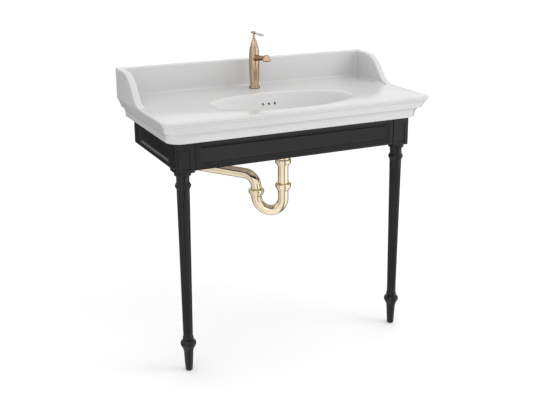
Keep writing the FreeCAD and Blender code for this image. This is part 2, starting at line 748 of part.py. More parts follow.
def rails():
    reach = S.basin_width / 2 - S.frame_inset
    front = S.basin_depth - S.frame_inset
    foot = S.rim_height - S.fascia_drop - S.pad_thickness - S.rail_height
    depth = S.dowel_length / 2 + S.joint_gap
    apron = rail("front_rail", (reach - S.post_size) * 2, S.field_stile, S.field_stile)
    apron_half = reach - S.post_size - S.joint_gap
    end_holes(apron, -apron_half, 1, depth)
    end_holes(apron, apron_half, -1, depth)
    place(apron, 0, S.rail_reveal - front, foot)
    run = front - S.post_size
    side_half = run / 2 - S.joint_gap
    for side, sign in SIDES:
        stiles = [S.field_stile, S.back_stile][::sign]
        board = rail(side + "_rail", run, stiles[0], stiles[1])
        end_holes(board, -side_half * sign, sign, depth)
        cross = draw_on(board, "cross_holes", "XZ_Plane", lift=-S.rail_thickness)
        for _end, level in SIDES:
            up = S.rail_height / 2 + S.dowel_spacing / 2 * level
            circle(cross, (side_half - S.rail_thickness / 2) * sign, up, S.dowel_radius + S.fit_gap)
        pocket(board, cross, S.dowel_in_side + S.joint_gap, reverse=True)
        turned_out = Rotation(Vector(0, 0, 1), 90 * sign)
        place(board, (reach - S.rail_reveal) * sign, -run / 2, foot, turned_out)
    inner = reach - S.rail_reveal - S.rail_thickness
    cleat = rail("rear_rail", inner * 2, 0, 0, sunk=False)
    rear_depth = S.dowel_length - S.dowel_in_side + S.joint_gap
    end_holes(cleat, -inner + S.joint_gap, 1, rear_depth)
    end_holes(cleat, inner - S.joint_gap, -1, rear_depth)
    screws = draw_on(cleat, "screw_holes", "XZ_Plane", lift=0)
    for _side, sign in SIDES:
        circle(screws, S.cleat_screw_spacing / 2 * sign, S.rail_height / 2, S.cleat_screw_hole)
    pocket(cleat, screws, S.rail_thickness)
    place(cleat, 0, -S.rail_thickness, foot)


def rail_dowels():
    reach = S.basin_width / 2 - S.frame_inset
    front = S.basin_depth - S.frame_inset
    foot = S.rim_height - S.fascia_drop - S.pad_thickness - S.rail_height
    board_middle = S.rail_reveal + S.rail_thickness / 2
    dowels = []
    for side, sign in SIDES:
        for end, level in SIDES:
            height = foot + S.rail_height / 2 + S.dowel_spacing / 2 * level
            name = f"dowel_{side}_{end}"
            corner = (reach - S.post_size) * sign - S.dowel_length / 2
            dowels.append(
                rod(name, S.dowel_radius, S.dowel_length, corner, board_middle - front, height, ALONG_X)
            )
            start = S.post_size - front - S.dowel_length / 2
            dowels.append(
                rod(name, S.dowel_radius, S.dowel_length, (reach - board_middle) * sign, start, height, ALONG_BACK)
            )
            inner = (reach - board_middle - S.rail_thickness / 2 + S.dowel_in_side) * sign
            outer = inner if sign < 0 else inner - S.dowel_length
            dowels.append(
                rod(name, S.dowel_radius, S.dowel_length, outer, -S.rail_thickness / 2, height, ALONG_X)
            )
    group("rail_dowels", dowels)


def corner_post(side, sign):
    body = new_body(side + "_post")
    half = S.post_size / 2
    height = S.rail_height + S.post_drop
    plan = draw_on(body, "plan", "XY_Plane")
    rectangle(plan, -half, -half, half, half)
    pad(body, plan, height)
    round_edges(body, S.post_round, lambda edge: is_outer_corner(edge, sign))
    box = (S.panel_margin - half, S.panel_foot, half - S.panel_margin, height - S.panel_top)
    sink_field(body, "XZ_Plane", half, -1, box, PANEL_MOULD)
    sink_field(body, "YZ_Plane", half * sign, -sign, box, PANEL_MOULD)
    in_line = half - S.rail_reveal - S.rail_thickness / 2
    level = S.post_drop + S.rail_height / 2
    toward_rail = draw_on(body, "apron_holes", "YZ_Plane", lift=-half * sign)
    toward_wall = draw_on(body, "side_holes", "XZ_Plane", lift=-half)
    for _end, up in SIDES:
        hole = level + S.dowel_spacing / 2 * up
        circle(toward_rail, -in_line, hole, S.dowel_radius + S.fit_gap)
        circle(toward_wall, in_line * sign, hole, S.dowel_radius + S.fit_gap)
    pocket(body, toward_rail, S.dowel_length / 2 + S.joint_gap, reverse=sign > 0)
    pocket(body, toward_wall, S.dowel_length / 2 + S.joint_gap, reverse=True)
    seat = draw_on(body, "insert_hole", "XY_Plane")
    circle(seat, 0, 0, S.insert_radius + S.fit_gap)
    pocket(body, seat, S.insert_length, reverse=True)
    bolt = draw_on(body, "bolt_hole", "XY_Plane")
    circle(bolt, 0, 0, S.leg_bolt_radius + S.fit_gap)
    pocket(body, bolt, S.leg_bolt_in_post + S.joint_gap, reverse=True)
    return body


def is_outer_corner(edge, sign):
    middle = edge.BoundBox.Center
    half = number(S.post_size / 2)
    return abs(middle.x - half * sign) < 0.1 and abs(middle.y + half) < 0.1


def posts():
    across = S.basin_width / 2 - S.frame_inset - S.post_size / 2
    back = S.post_size / 2 + S.frame_inset - S.basin_depth
    top = S.rim_height - S.fascia_drop - S.pad_thickness
    foot = top - S.rail_height - S.post_drop
    inserts, bolts, glides = [], [], []
    for side, sign in SIDES:
        place(corner_post(side, sign), across * sign, back, foot)
        place(leg(side, foot), across * sign, back, S.glide_thickness)
        insert = doc.addObject("Part::Cut", side + "_insert")
        insert.Base = rod(side + "_sleeve", S.insert_radius, S.insert_length, 0, 0, S.bolt_height)
        insert.Tool = rod(side + "_thread", S.leg_bolt_radius + S.fit_gap, S.insert_length, 0, 0, S.bolt_height)
        place(insert, across * sign, back, foot)
        inserts.append(insert)
        length = S.leg_bolt_in_leg + S.leg_bolt_in_post
        start = foot - S.leg_bolt_in_leg
        bolts.append(rod(side + "_bolt", S.leg_bolt_radius, length, across * sign, back, start))
        glide = doc.addObject("Part::Fuse", side + "_glide")
        glide.Base = rod(side + "_disc", S.glide_radius, S.glide_thickness, 0, 0, S.bolt_height)
        pin_length = S.glide_thickness + S.glide_pin_length
        glide.Tool = rod(side + "_pin", S.glide_pin_radius, pin_length, 0, 0, S.bolt_height)
        place(glide, across * sign, back, 0)
        glides.append(glide)
    group("leg_inserts", inserts)
    group("leg_bolts", bolts)
    group("leg_glides", glides)


def leg(side, top):
    """A turned leg, from its glide to the post, with stopped flutes round its shaft."""
    body = new_body(side + "_leg")
    base = S.glide_thickness
    up = top - base
    bore, pin_bore = S.leg_bolt_radius + S.fit_gap, S.glide_pin_radius + S.fit_gap
    cove = top - S.collar_height - base
    ring_low = S.torus_level - S.torus_half - base
    ring_high = S.torus_level + S.torus_half - base
    fillet = S.torus_half / 4
    bulb_half = (S.bulb_top - S.lip_top) / 2
    profile = [
        (pin_bore, 0),
        (S.ankle_radius - S.toe_round, 0),
        (S.ankle_radius, S.toe_round, S.toe_round, -1),
        (S.calf_radius, S.calf_top - base - S.toe_round),
        (S.calf_radius, S.calf_top - base),
        (S.lip_radius, S.calf_top - base + S.toe_round / 2),
        (S.lip_radius, S.lip_top - base - S.toe_round),
        (S.calf_radius + S.toe_round * 2, S.lip_top - base),
        (S.bulb_radius, S.lip_top - base + bulb_half, S.bulb_radius / 2, -1),
        (S.shaft_base_radius, S.bulb_top - base, S.bulb_radius / 2 + S.toe_round, -1),
        (S.shaft_base_radius, S.bulb_top - base + S.toe_round),
        (S.ring_radius, S.bulb_top - base + S.toe_round),
        (S.ring_radius, S.ring_top - base - S.toe_round),
        (S.shaft_base_radius, S.ring_top - base),
        (S.shaft_base_radius, S.shaft_base - base),
        (S.shaft_top_radius, S.shaft_top - base),
        (S.shaft_top_radius, ring_low - fillet * 2),
        (S.shaft_top_radius + fillet, ring_low - fillet),
        (S.shaft_top_radius + fillet, ring_low),
        (S.torus_radius, S.torus_level - base, S.torus_half * 1.4, -1),
        (S.shaft_top_radius + fillet, ring_high, S.torus_half * 1.4, -1),
        (S.shaft_top_radius + fillet, ring_high + fillet),
        (S.shaft_top_radius, ring_high + fillet * 2),
        (S.neck_radius, S.neck_top - base),
        (S.neck_radius, cove),
        (S.collar_radius, cove),
        (S.collar_radius, up),
        (bore, up),
        (bore, up - S.leg_bolt_in_leg - S.fit_gap),
        (0, up - S.leg_bolt_in_leg - S.fit_gap),
        (0, S.glide_pin_length + S.fit_gap),
        (pin_bore, S.glide_pin_length + S.fit_gap),
    ]
    sketch = draw_on(body, "profile", "XZ_Plane")
    outline(sketch, profile)
    turn(body, sketch)
    flutes(body, S.shaft_base + S.flute_margin - base, S.shaft_top - S.flute_margin - base)
    return body


def flutes(body, low, high):
    """One flute turned about its own leaning axis, then repeated round the shaft."""
    small = S.flute_radius * S.flute_taper
    out = 1 - S.flute_bite
    low_x = S.shaft_base_radius + small * out
    high_x = S.shaft_top_radius + S.flute_radius * out
    sketch = draw_on(body, "flute", "XZ_Plane")
    outline(sketch, [
        (low_x, low),
        (low_x - small, low + small, small, 1),
        (high_x - S.flute_radius, high - S.flute_radius),
        (high_x, high, S.flute_radius, 1),
    ])
    axis = Part.LineSegment(spot((low_x, low)), spot((high_x, high)))
    line = sketch.addGeometry(axis, True)
    fix_point(sketch, line, 1, low_x, low)
    fix_point(sketch, line, 2, high_x, high)
    groove = body.newObject("PartDesign::Groove", "flute_cut")
    groove.Profile = (sketch, [""])
    groove.ReferenceAxis = (sketch, ["Axis0"])
    groove.Angle = 360
    doc.recompute()
    pattern = body.newObject("PartDesign::PolarPattern", "flutes")
    pattern.Originals = [groove]
    upright = [f for f in body.Origin.OriginFeatures if f.Role == "Z_Axis"][0]
    pattern.Axis = (upright, [""])
    pattern.Angle = 360
    pattern.Occurrences = int(number(S.flute_count))
    pattern.setExpression("Occurrences", formula(S.flute_count))
    body.Tip = pattern


# --- tap --------------------------------------------------------------------------------


def tap_place(piece, level=0, rotation=Rotation(), ahead=0):
    """Put a piece on the tap's axis, at a level above the deck."""
    place(piece, 0, -S.tap_setback - ahead, S.rim_height + level, rotation)


def tap_body():
    body = turned("tap_body", [
        (S.spigot_radius + S.fit_gap, S.foot_seal_thickness),
        (S.waist_radius, S.foot_seal_thickness),
        (S.waist_radius, S.waist_level),
        (S.belly_radius, S.belly_level, S.waist_curve, -1),
        (S.shoulder_radius, S.shoulder_level, S.shoulder_curve, -1),
        (S.chamber_radius, S.shoulder_level),
        (S.chamber_radius, S.chamber_floor),
        (0, S.chamber_floor),
        (0, S.spigot_top + S.fit_gap),
        (S.spigot_radius + S.fit_gap, S.spigot_top + S.fit_gap),
    ])
    arm = []
    for reach, rise, radius in ((0.1, 0.0, 1.25), (0.2, 0.1, 1.08), (0.4, 0.35, 0.98), (0.7, 0.7, 0.9), (1.0, 1.0, 0.82)):
        section = draw_on(body, "arm", "XZ_Plane", lift=S.spout_reach * reach)
        circle(section, 0, S.spout_root_level + S.spout_rise * rise, S.spout_root_radius * radius)
        arm.append(section)
    loft(body, arm, ruled=False)
    bell = draw_on(body, "bell", "XZ_Plane", lift=S.spout_reach)
    crown_step = S.bell_crown_radius / 3
    outline(bell, [
        (0, S.bell_rim),
        (S.bell_radius, S.bell_rim),
        (S.bell_radius, S.bell_rim + crown_step / 2),
        (S.bell_crown_radius, S.bell_crown - crown_step, S.bell_curve, 1),
        (S.bell_crown_radius - crown_step, S.bell_crown, crown_step, -1),
        (0, S.bell_crown),
    ])
    turn(body, bell)
    seat = draw_on(body, "aerator_seat", "XZ_Plane", lift=S.spout_reach)
    deep = S.bell_rim - S.aerator_drop + S.aerator_height
    rectangle(seat, 0, S.bell_rim, S.aerator_radius + S.fit_gap, deep)
    turn(body, seat, cut=True)
    waterway = []
    for reach, rise in ((0.1, 0.25), (1.0, 0.85)):
        section = draw_on(body, "waterway", "XZ_Plane", lift=S.spout_reach * reach)
        circle(section, 0, S.spout_root_level + S.spout_rise * rise, S.water_radius)
        waterway.append(section)
    loft(body, waterway, cut=True)
    inlets = draw_on(body, "inlets", "XY_Plane", lift=S.spigot_top)
    for _side, sign in SIDES:
        circle(inlets, S.inlet_spacing / 2 * sign, 0, S.inlet_radius)
    pocket(body, inlets, S.inlet_depth, reverse=True)
    tap_place(body)


def tap_parts():
    seal_outer = S.flange_radius - S.foot_seal_thickness
    seal = ring_piece("tap_foot_seal", S.shank_radius + S.fit_gap, seal_outer, S.foot_seal_thickness)
    tap_place(seal)
    half_height = S.flange_height / 2
    flange = turned("tap_flange", [
        (S.shank_radius + S.fit_gap, 0),
        (S.flange_radius - S.foot_seal_thickness, 0),
        (S.flange_radius - S.foot_seal_thickness, half_height, half_height, -1),
        (S.shank_radius + S.fit_gap * 10, S.flange_height, S.flange_height, 1),
        (S.shank_radius + S.fit_gap, S.flange_height),
    ])
    tap_place(flange, S.foot_seal_thickness)
    ring_inner = S.aerator_radius - S.foot_seal_thickness
    rim = ring_piece("aerator_ring", ring_inner, S.aerator_radius, S.aerator_height - S.fit_gap)
    tap_place(rim, S.bell_rim - S.aerator_drop, ahead=S.spout_reach)
    screen = new_body("aerator_screen")
    disc = draw_on(screen, "disc", "XY_Plane")
    circle(disc, 0, 0, ring_inner - S.fit_gap)
    for row in (-1, 0, 1):
        for column in (-1, 0, 1):
            circle(disc, ring_inner / 2 * row, ring_inner / 2 * column, S.pin_radius)
    pad(screen, disc, S.aerator_height / 2)
    tap_place(screen, S.bell_rim, ahead=S.spout_reach)
    bore = S.stem_radius + S.stem_gap
    cartridge_top = S.stem_root + S.stem_gap * 12
    cartridge = turned("tap_cartridge", [
        (0, S.chamber_floor),
        (S.chamber_radius - S.cartridge_gap, S.chamber_floor),
        (S.chamber_radius - S.cartridge_gap, cartridge_top),
        (bore, cartridge_top),
        (bore, S.stem_root - S.stem_gap),
        (0, S.stem_root - S.stem_gap),
    ])
    tap_place(cartridge)
    bonnet = turned("tap_bonnet", [
        (bore, cartridge_top + S.joint_gap),
        (S.chamber_radius - S.fit_gap, cartridge_top + S.joint_gap),
        (S.chamber_radius - S.fit_gap, S.shoulder_level),
        (S.bonnet_radius, S.shoulder_level),
        (S.bonnet_radius, S.shoulder_level + S.tongue_thickness),
        (S.bonnet_top_radius, S.bonnet_top - S.tongue_thickness, S.bonnet_curve, -1),
        (S.bonnet_top_radius, S.bonnet_top),
        (bore, S.bonnet_top),
    ])
    tap_place(bonnet)


def tap_stem():
    """The stem that turns in the bonnet, with a tongue for the lever's pivot."""
    body = turned("tap_stem", [
        (0, S.stem_root),
        (S.stem_radius, S.stem_root),
        (S.stem_radius, S.stem_shoulder),
        (0, S.stem_shoulder),
    ])
    tongue = draw_on(body, "tongue", "XY_Plane", lift=S.stem_shoulder)
    half_thick, half_wide = S.tongue_thickness / 2, S.tongue_width / 2
    rectangle(tongue, -half_thick, -half_wide, half_thick, half_wide)
    pad(body, tongue, S.pivot_level + S.tongue_rise - S.stem_shoulder)
    hole = draw_on(body, "pin_hole", "YZ_Plane", lift=S.tongue_thickness)
    circle(hole, 0, S.pivot_level, S.pin_radius)
    pocket(body, hole, S.tongue_thickness * 2)
    tap_place(body)
    pin_half = S.hub_radius * 0.9
    pin = rod("lever_pin", S.pin_radius, pin_half * 2, -pin_half, 0, 0, ALONG_X)
    place(pin, -pin_half, -S.tap_setback, S.rim_height + S.pivot_level, ALONG_X)
    nodes.append(pin)


def lever():
    """Hub, ceramic lever and rear ball. They are drawn upright and laid forward."""
    hub_edge, neck, peg = S.hub_radius, S.lever_root_radius, S.lever_peg_radius
    hub = turned("lever_hub", [
        (0, -S.tail_reach + S.tail_ball / 2),
        (S.tail_radius, -S.tail_reach + S.tail_ball / 2),
        (S.tail_radius, -hub_edge * 0.94),
        (hub_edge, 0, hub_edge, -1),
        (S.hub_neck_radius, hub_edge * 0.9, hub_edge, -1),
        (S.hub_neck_radius, hub_edge * 1.2),
        (S.ferrule_radius, hub_edge * 1.5),
        (S.ferrule_radius, S.ferrule_end),
        (peg, S.ferrule_end),
        (peg, S.ferrule_end - neck),
        (0, S.ferrule_end - neck),
    ])
    slot_half = S.tongue_thickness / 2 + S.slot_gap
    slot = draw_on(hub, "slot", "YZ_Plane", lift=slot_half)
    side, reach = S.tongue_width * 0.76, S.hub_radius * 1.2
    outline(slot, [
        (-reach, side),
        (-reach, -side * 1.85),
        (0, -side * 0.92),
        (side, -side),
        (side, side),
    ])
    pocket(hub, slot, slot_half * 2)
    hole = draw_on(hub, "pin_hole", "YZ_Plane", lift=hub_edge * 1.2)
    circle(hole, 0, 0, S.pin_radius + S.pin_gap)
    pocket(hub, hole, hub_edge * 2.4)
    tap_place(hub, S.pivot_level, ALONG_FRONT)
    round_end = S.lever_end_radius / 2
    handle = turned("lever_handle", [
        (0, S.ferrule_end - neck + S.fit_gap),
        (peg - S.fit_gap, S.ferrule_end - neck + S.fit_gap),
        (peg - S.fit_gap, S.ferrule_end + S.fit_gap),
        (neck, S.ferrule_end + S.fit_gap),
        (S.lever_end_radius, S.lever_length - round_end),
        (S.lever_end_radius - round_end, S.lever_length, round_end, -1),
        (0, S.lever_length),
    ])
    tap_place(handle, S.pivot_level, ALONG_FRONT)
    flat = S.tail_ball / 2
    ball = turned("lever_tail", [
        (0, -S.tail_reach + flat - S.fit_gap),
        (0, -S.tail_reach - S.tail_ball),
        (S.tail_ball, -S.tail_reach, S.tail_ball, -1),
        (S.tail_ball * math.sqrt(3) / 2, -S.tail_reach + flat - S.fit_gap, S.tail_ball, -1),
    ])
    tap_place(ball, S.pivot_level, ALONG_FRONT)


def hex_nut(label, flat, bore, height):
    body = new_body(label)
    sketch = draw_on(body, "hexagon", "XY_Plane")
    half, side = flat / 2, flat / math.sqrt(12)
    outline(sketch, [
        (half, -side),
        (half, side),
        (0, side * 2),
        (-half, side),
        (-half, -side),
        (0, -side * 2),
    ])
    circle(sketch, 0, 0, bore)
    pad(body, sketch, height)
    return body


def tap_fixing():
    shank = turned("tap_shank", [
        (S.shank_bore, -S.shank_length),
        (S.shank_radius, -S.shank_length),
        (S.shank_radius, S.foot_seal_thickness),
        (S.spigot_radius, S.foot_seal_thickness),
        (S.spigot_radius, S.spigot_top),
        (S.shank_bore, S.spigot_top),
    ])
    tap_place(shank)
    bore = S.shank_radius + S.thread_gap
    level = -S.deck_thickness - S.rubber_thickness
    tap_place(ring_piece("tap_rubber_washer", bore, S.clamp_radius, S.rubber_thickness), level)
    level = level - S.washer_thickness
    tap_place(ring_piece("tap_washer", bore, S.clamp_radius, S.washer_thickness), level)
    level = level - S.back_nut_height
    tap_place(hex_nut("tap_nut", S.back_nut_flat, bore, S.back_nut_height), level)


# --- waste and trap ---------------------------------------------------------------------


def waste_place(piece, floor_to, rotation=Rotation(), x=0, y=0):
    """Put a piece on the waste's axis, at a height above the floor."""
    place(piece, x, y - bowl_centre, floor_to, rotation)


def waste_top():
    return S.rim_height - S.bowl_depth - S.drain_recess_depth + S.strainer_thickness


def waste_body():
    """Flange and threaded tail in one, with a cross inside that guides the plug."""
    top = waste_top()
    tail_foot = S.upper_nut_level - S.nut_height / 2 + S.nut_lip + S.seal_height
    under = -S.strainer_thickness
    foot = tail_foot - top
    body = turned("waste_body", [
        (S.waste_bore, 0),
        (S.waste_bore, foot),
        (S.waste_radius, foot),
        (S.waste_radius, under),
        (S.strainer_radius, under),
        (S.strainer_radius, under / 2),
        (S.strainer_radius + under, 0, S.strainer_thickness * 3, -1),
    ])
    sleeve = S.guide_radius + S.guide_gap + S.sleeve_wall
    cross = draw_on(body, "cross", "XY_Plane", lift=-S.spider_drop - S.spider_height)
    arm, reach = S.spider_arm / 2, (S.waste_bore + S.waste_radius) / 2
    outline(cross, [
        (arm, -reach), (arm, -arm), (reach, -arm), (reach, arm), (arm, arm), (arm, reach),
        (-arm, reach), (-arm, arm), (-reach, arm), (-reach, -arm), (-arm, -arm), (-arm, -reach),
    ])
    pad(body, cross, S.spider_height)
    hub = draw_on(body, "hub", "XY_Plane", lift=-S.spider_drop - S.spider_height)
    circle(hub, 0, 0, sleeve)
    pad(body, hub, S.spider_height)
    guide = draw_on(body, "guide", "XY_Plane", lift=-S.spider_drop)
    circle(guide, 0, 0, S.guide_radius + S.guide_gap)
    pocket(body, guide, S.spider_height)
    channel_floor = S.rim_height - S.bowl_depth - S.bowl_wall - S.duct_floor + S.duct_wall
    slots = draw_on(body, "slots", "XZ_Plane", lift=-S.waste_radius * 1.2)
    low = channel_floor - top
    rectangle(slots, -S.slot_width / 2, low, S.slot_width / 2, low + S.slot_height)
    pocket(body, slots, S.waste_radius * 2.4, reverse=True)
    waste_place(body, top)


def waste_parts():
    top = waste_top()
    under = S.rim_height - S.bowl_depth - S.bowl_wall - S.duct_floor
    cap = turned("plug", [
        (0, S.plug_gap),
        (S.plug_radius - S.plug_thickness / 2, S.plug_gap),
        (S.plug_radius, S.plug_gap + S.plug_thickness / 2, S.plug_thickness / 2, -1),
        (S.plug_radius - S.plug_thickness, S.plug_gap + S.plug_thickness, S.plug_thickness * 2, -1),
        (0, S.plug_gap + S.plug_thickness),
    ])
    waste_place(cap, top)
    stem = rod("plug_stem", S.guide_radius, S.guide_length, 0, 0, 0)
    place(stem, 0, -bowl_centre, top + S.plug_gap - S.guide_length)
    nodes.append(stem)
    bore = S.waste_radius + S.thread_gap
    level = under - S.waste_washer
    waste_place(ring_piece("waste_washer", bore, S.waste_washer_radius, S.waste_washer), level)
    level = level - S.waste_nut_height
    waste_place(hex_nut("waste_nut", S.waste_nut_flat, bore, S.waste_nut_height), level)


def trap_nut(label, level, x=0, y=0, upright=True):
    """A round slip nut with an inward lip and its soft ring."""
    bore, edge = S.tube_radius + S.thread_gap, S.nut_round
    collar = [(bore, -S.nut_collar), (S.nut_collar_radius, -S.nut_collar), (S.nut_collar_radius, 0)]
    nut = turned(label, [
        *(collar if upright else [(bore, 0)]),
        (S.nut_radius - edge, 0),
        (S.nut_radius, edge, edge, -1),
        (S.nut_radius, S.nut_height - edge),
        (S.nut_radius - edge, S.nut_height, edge, -1),
        (S.socket_radius + S.thread_gap, S.nut_height),
        (S.socket_radius + S.thread_gap, S.nut_lip),
        (bore, S.nut_lip),
    ])
    flip = Rotation() if upright else Rotation(Vector(1, 0, 0), 180)
    foot = level - S.nut_height / 2 if upright else level + S.nut_height / 2
    waste_place(nut, foot, flip, x, y)
    seal = ring_piece(label + "_seal", bore, S.socket_radius, S.seal_height)
    seal_foot = foot + S.nut_lip if upright else foot - S.nut_lip
    waste_place(seal, seal_foot, flip, x, y)


def tube_path(body, name, plane, points, lift=0):
    """A path of lines and tangent arcs; (x, y, radius, side) ends an arc."""
    sketch = draw_on(body, name, plane, lift=lift)
    last = None
    for before, point in zip(points, points[1:]):
        start, end = spot(before), spot(point)
        if len(point) == 2:
            edge = sketch.addGeometry(Part.LineSegment(start, end), False)
        else:
            edge = sketch.addGeometry(arc_edge(start, end, number(point[2]), point[3]), False)
        forward = sketch.getPoint(edge, 1).sub(start).Length < 1e-6
        head, tail = (1, 2) if forward else (2, 1)
        if last is None:
            fix_point(sketch, edge, head, before[0], before[1])
        else:
            sketch.addConstraint(Sketcher.Constraint("Coincident", *last, edge, head))
        fix_point(sketch, edge, tail, point[0], point[1])
        if len(point) == 4:
            fix(sketch, "Radius", (edge,), point[2])
        last = (edge, tail)
    return sketch


def tube(body, plane, path, section_plane, section_at, lift=0, across=0, up=0):
    """A tube along a path, from a ring drawn across the path's start."""
    ring = draw_on(body, "ring", section_plane, across=across, up=up, lift=section_at)
    circle(ring, 0, 0, S.tube_radius)
    circle(ring, 0, 0, S.tube_radius - S.tube_wall)
    spine = tube_path(body, "path", plane, path, lift)
    pipe = body.newObject("PartDesign::AdditivePipe", "tube")
    pipe.Profile = (ring, [""])
    pipe.Spine = (spine, [""])
    return pipe


def half_ring(body):
    """The trap's bend: half a ring of tube that hangs from the level z = 0."""
    ring = draw_on(body, "ring", "XY_Plane")
    circle(ring, 0, 0, S.tube_radius)
    circle(ring, 0, 0, S.tube_radius - S.tube_wall)
    line = ring.addGeometry(Part.LineSegment(spot((-S.bend_radius, 0)), spot((-S.bend_radius, 1))), True)
    fix_point(ring, line, 1, -S.bend_radius, 0)
    fix_point(ring, line, 2, -S.bend_radius, S.tube_radius)
    bend = body.newObject("PartDesign::Revolution", "bend")
    bend.Profile = (ring, [""])
    bend.ReferenceAxis = (ring, ["Axis0"])
    bend.Angle = 180


def socket(body, foot, across=0):
    """A tube that rises from the bend and widens into a threaded socket."""
    sketch = draw_on(body, "socket", "XZ_Plane", across=across)
    inner, tube_bore = S.tube_radius + S.fit_gap * 6, S.tube_radius - S.tube_wall
    outline(sketch, [
        (tube_bore, 0),
        (S.tube_radius, 0),
        (S.tube_radius, foot - S.nut_lip),
        (S.socket_radius, foot),
        (S.socket_radius, foot + S.socket_depth),
        (inner, foot + S.socket_depth),
        (inner, foot + S.tube_wall),
        (tube_bore, foot + S.tube_wall),
    ])
    turn(body, sketch)


def trap():
    """Tailpiece, bend and wall arm with their nuts."""
    under_nut = -S.nut_height / 2 + S.nut_lip + S.seal_height
    socket_top = S.lower_nut_level - under_nut
    outlet_top = S.outlet_nut_level - under_nut
    trap_nut("upper_nut", S.upper_nut_level)
    trap_nut("lower_nut", S.lower_nut_level, upright=False)
    tail_foot = socket_top - S.tube_insert
    tail_top = S.upper_nut_level + S.nut_height / 2
    tail = ring_piece("tailpiece", S.tube_radius - S.tube_wall, S.tube_radius, tail_top - tail_foot)
    waste_place(tail, tail_foot)
    bend = new_body("trap_bend")
    low = S.bend_level
    first, last = socket_top - S.socket_depth - low, outlet_top - S.socket_depth - low
    span = S.bend_radius * 2
    half_ring(bend)
    socket(bend, first)
    socket(bend, last, across=-span)
    turn_back = Rotation(Vector(0, 0, 1), -number(S.bend_angle))
    waste_place(bend, low, turn_back)
    angle = math.radians(number(S.bend_angle))
    x, y = -span * math.cos(angle), span * math.sin(angle)
    trap_nut("outlet_nut", S.outlet_nut_level, x, y, upright=False)
    arm = new_body("wall_arm")
    start = outlet_top - S.tube_insert
    rise = S.arm_level - start
    elbow, sweep = S.elbow_radius, S.sweep_radius
    heading = math.radians(number(S.arm_angle))
    back = bowl_centre - y
    run = (back - sweep * math.sin(heading) - S.arm_straight) / math.cos(heading)
    stub = S.arm_straight + S.wall_stub
    tube(arm, "XZ_Plane", [
        (0, 0),
        (0, rise - elbow),
        (elbow, rise, elbow, 1),
        (run, rise),
    ], "XY_Plane", 0)
    sweep_x, sweep_y = sweep * math.sin(heading), sweep * (1 - math.cos(heading))
    tube(arm, "XY_Plane", [
        (run, 0),
        (run + sweep_x, -sweep_y, sweep, 1),
        (run + sweep_x + stub * math.cos(heading), -sweep_y - stub * math.sin(heading)),
    ], "YZ_Plane", run, lift=rise, across=0, up=rise)
    forward, aside = Vector(math.cos(heading), -math.sin(heading)), Vector(math.sin(heading), math.cos(heading))
    stub_x = run + sweep_x + S.arm_straight * forward.x
    stub_y = -sweep_y + S.arm_straight * forward.y
    spigot = draw_on(arm, "spigot", "XY_Plane", lift=rise)
    outer = S.tube_radius + S.tube_wall
    long = S.wall_stub + S.tube_wall
    corners = [(S.stub_radius, 0), (outer, 0), (outer, long), (S.stub_radius, long)]
    outline(spigot, [
        (stub_x + out * aside.x + on * forward.x, stub_y + out * aside.y + on * forward.y) for out, on in corners
    ])
    axis = spigot.addGeometry(Part.LineSegment(spot((stub_x, stub_y)), spot((stub_x + forward.x, stub_y + forward.y))), True)
    fix_point(spigot, axis, 1, stub_x, stub_y)
    fix_point(spigot, axis, 2, stub_x + long * forward.x, stub_y + long * forward.y)
    turn(arm, spigot, cut=True, axis="Axis0")
    lay = Rotation(Vector(0, 0, 1), 90 + number(S.arm_angle))
    waste_place(arm, start, lay, x, y)
    end_x = x - run * math.sin(heading) - sweep * (1 - math.cos(heading))
    rose = turned("wall_rose", [
        (S.tube_radius + S.thread_gap, S.rose_depth),
        (S.tube_radius + S.thread_gap, S.rose_depth - S.rose_wall),
        (S.tube_radius + S.rose_wall * 2, S.rose_depth - S.rose_wall),
        (S.rose_radius - S.rose_wall, 0, S.rose_radius * 0.7, 1),
        (S.rose_radius, 0),
        (S.tube_radius + S.rose_wall * 3, S.rose_depth, S.rose_radius * 0.7, -1),
    ])
    place(rose, end_x, 0, S.arm_level, ALONG_FRONT)


def finish(folder):
    """Check every object and write one file for each piece."""
    doc.recompute()
    for piece in doc.Objects:
        if "Invalid" in piece.State or "Error" in piece.State:
            raise RuntimeError(f"{piece.Name} of {[p.Label for p in piece.InList]} failed: {piece.State}")
        base = getattr(piece, "BaseFeature", None)
        cuts = piece.TypeId.endswith(("Pocket", "Groove")) or "Subtractive" in piece.TypeId
        if cuts and base is not None and piece.Shape.Volume > base.Shape.Volume - 0.01:
            raise RuntimeError(f"{piece.Name} of {[p.Label for p in piece.InList]} cuts nothing")
    os.makedirs(folder, exist_ok=True)
    for node in nodes:
        if node.Shape.isNull() or not node.Shape.isValid():
            raise RuntimeError(f"{node.Label} has no valid shape")
        node.Shape.exportStep(f"{folder}/{node.Label}.step")


basin()
basin_pads()
rails()
rail_dowels()
posts()
tap_body()
tap_parts()
tap_stem()
lever()
tap_fixing()
waste_body()
waste_parts()
trap()
finish("parts")
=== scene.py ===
import json
import math

import bmesh
import bpy
from mathutils import Matrix, Vector


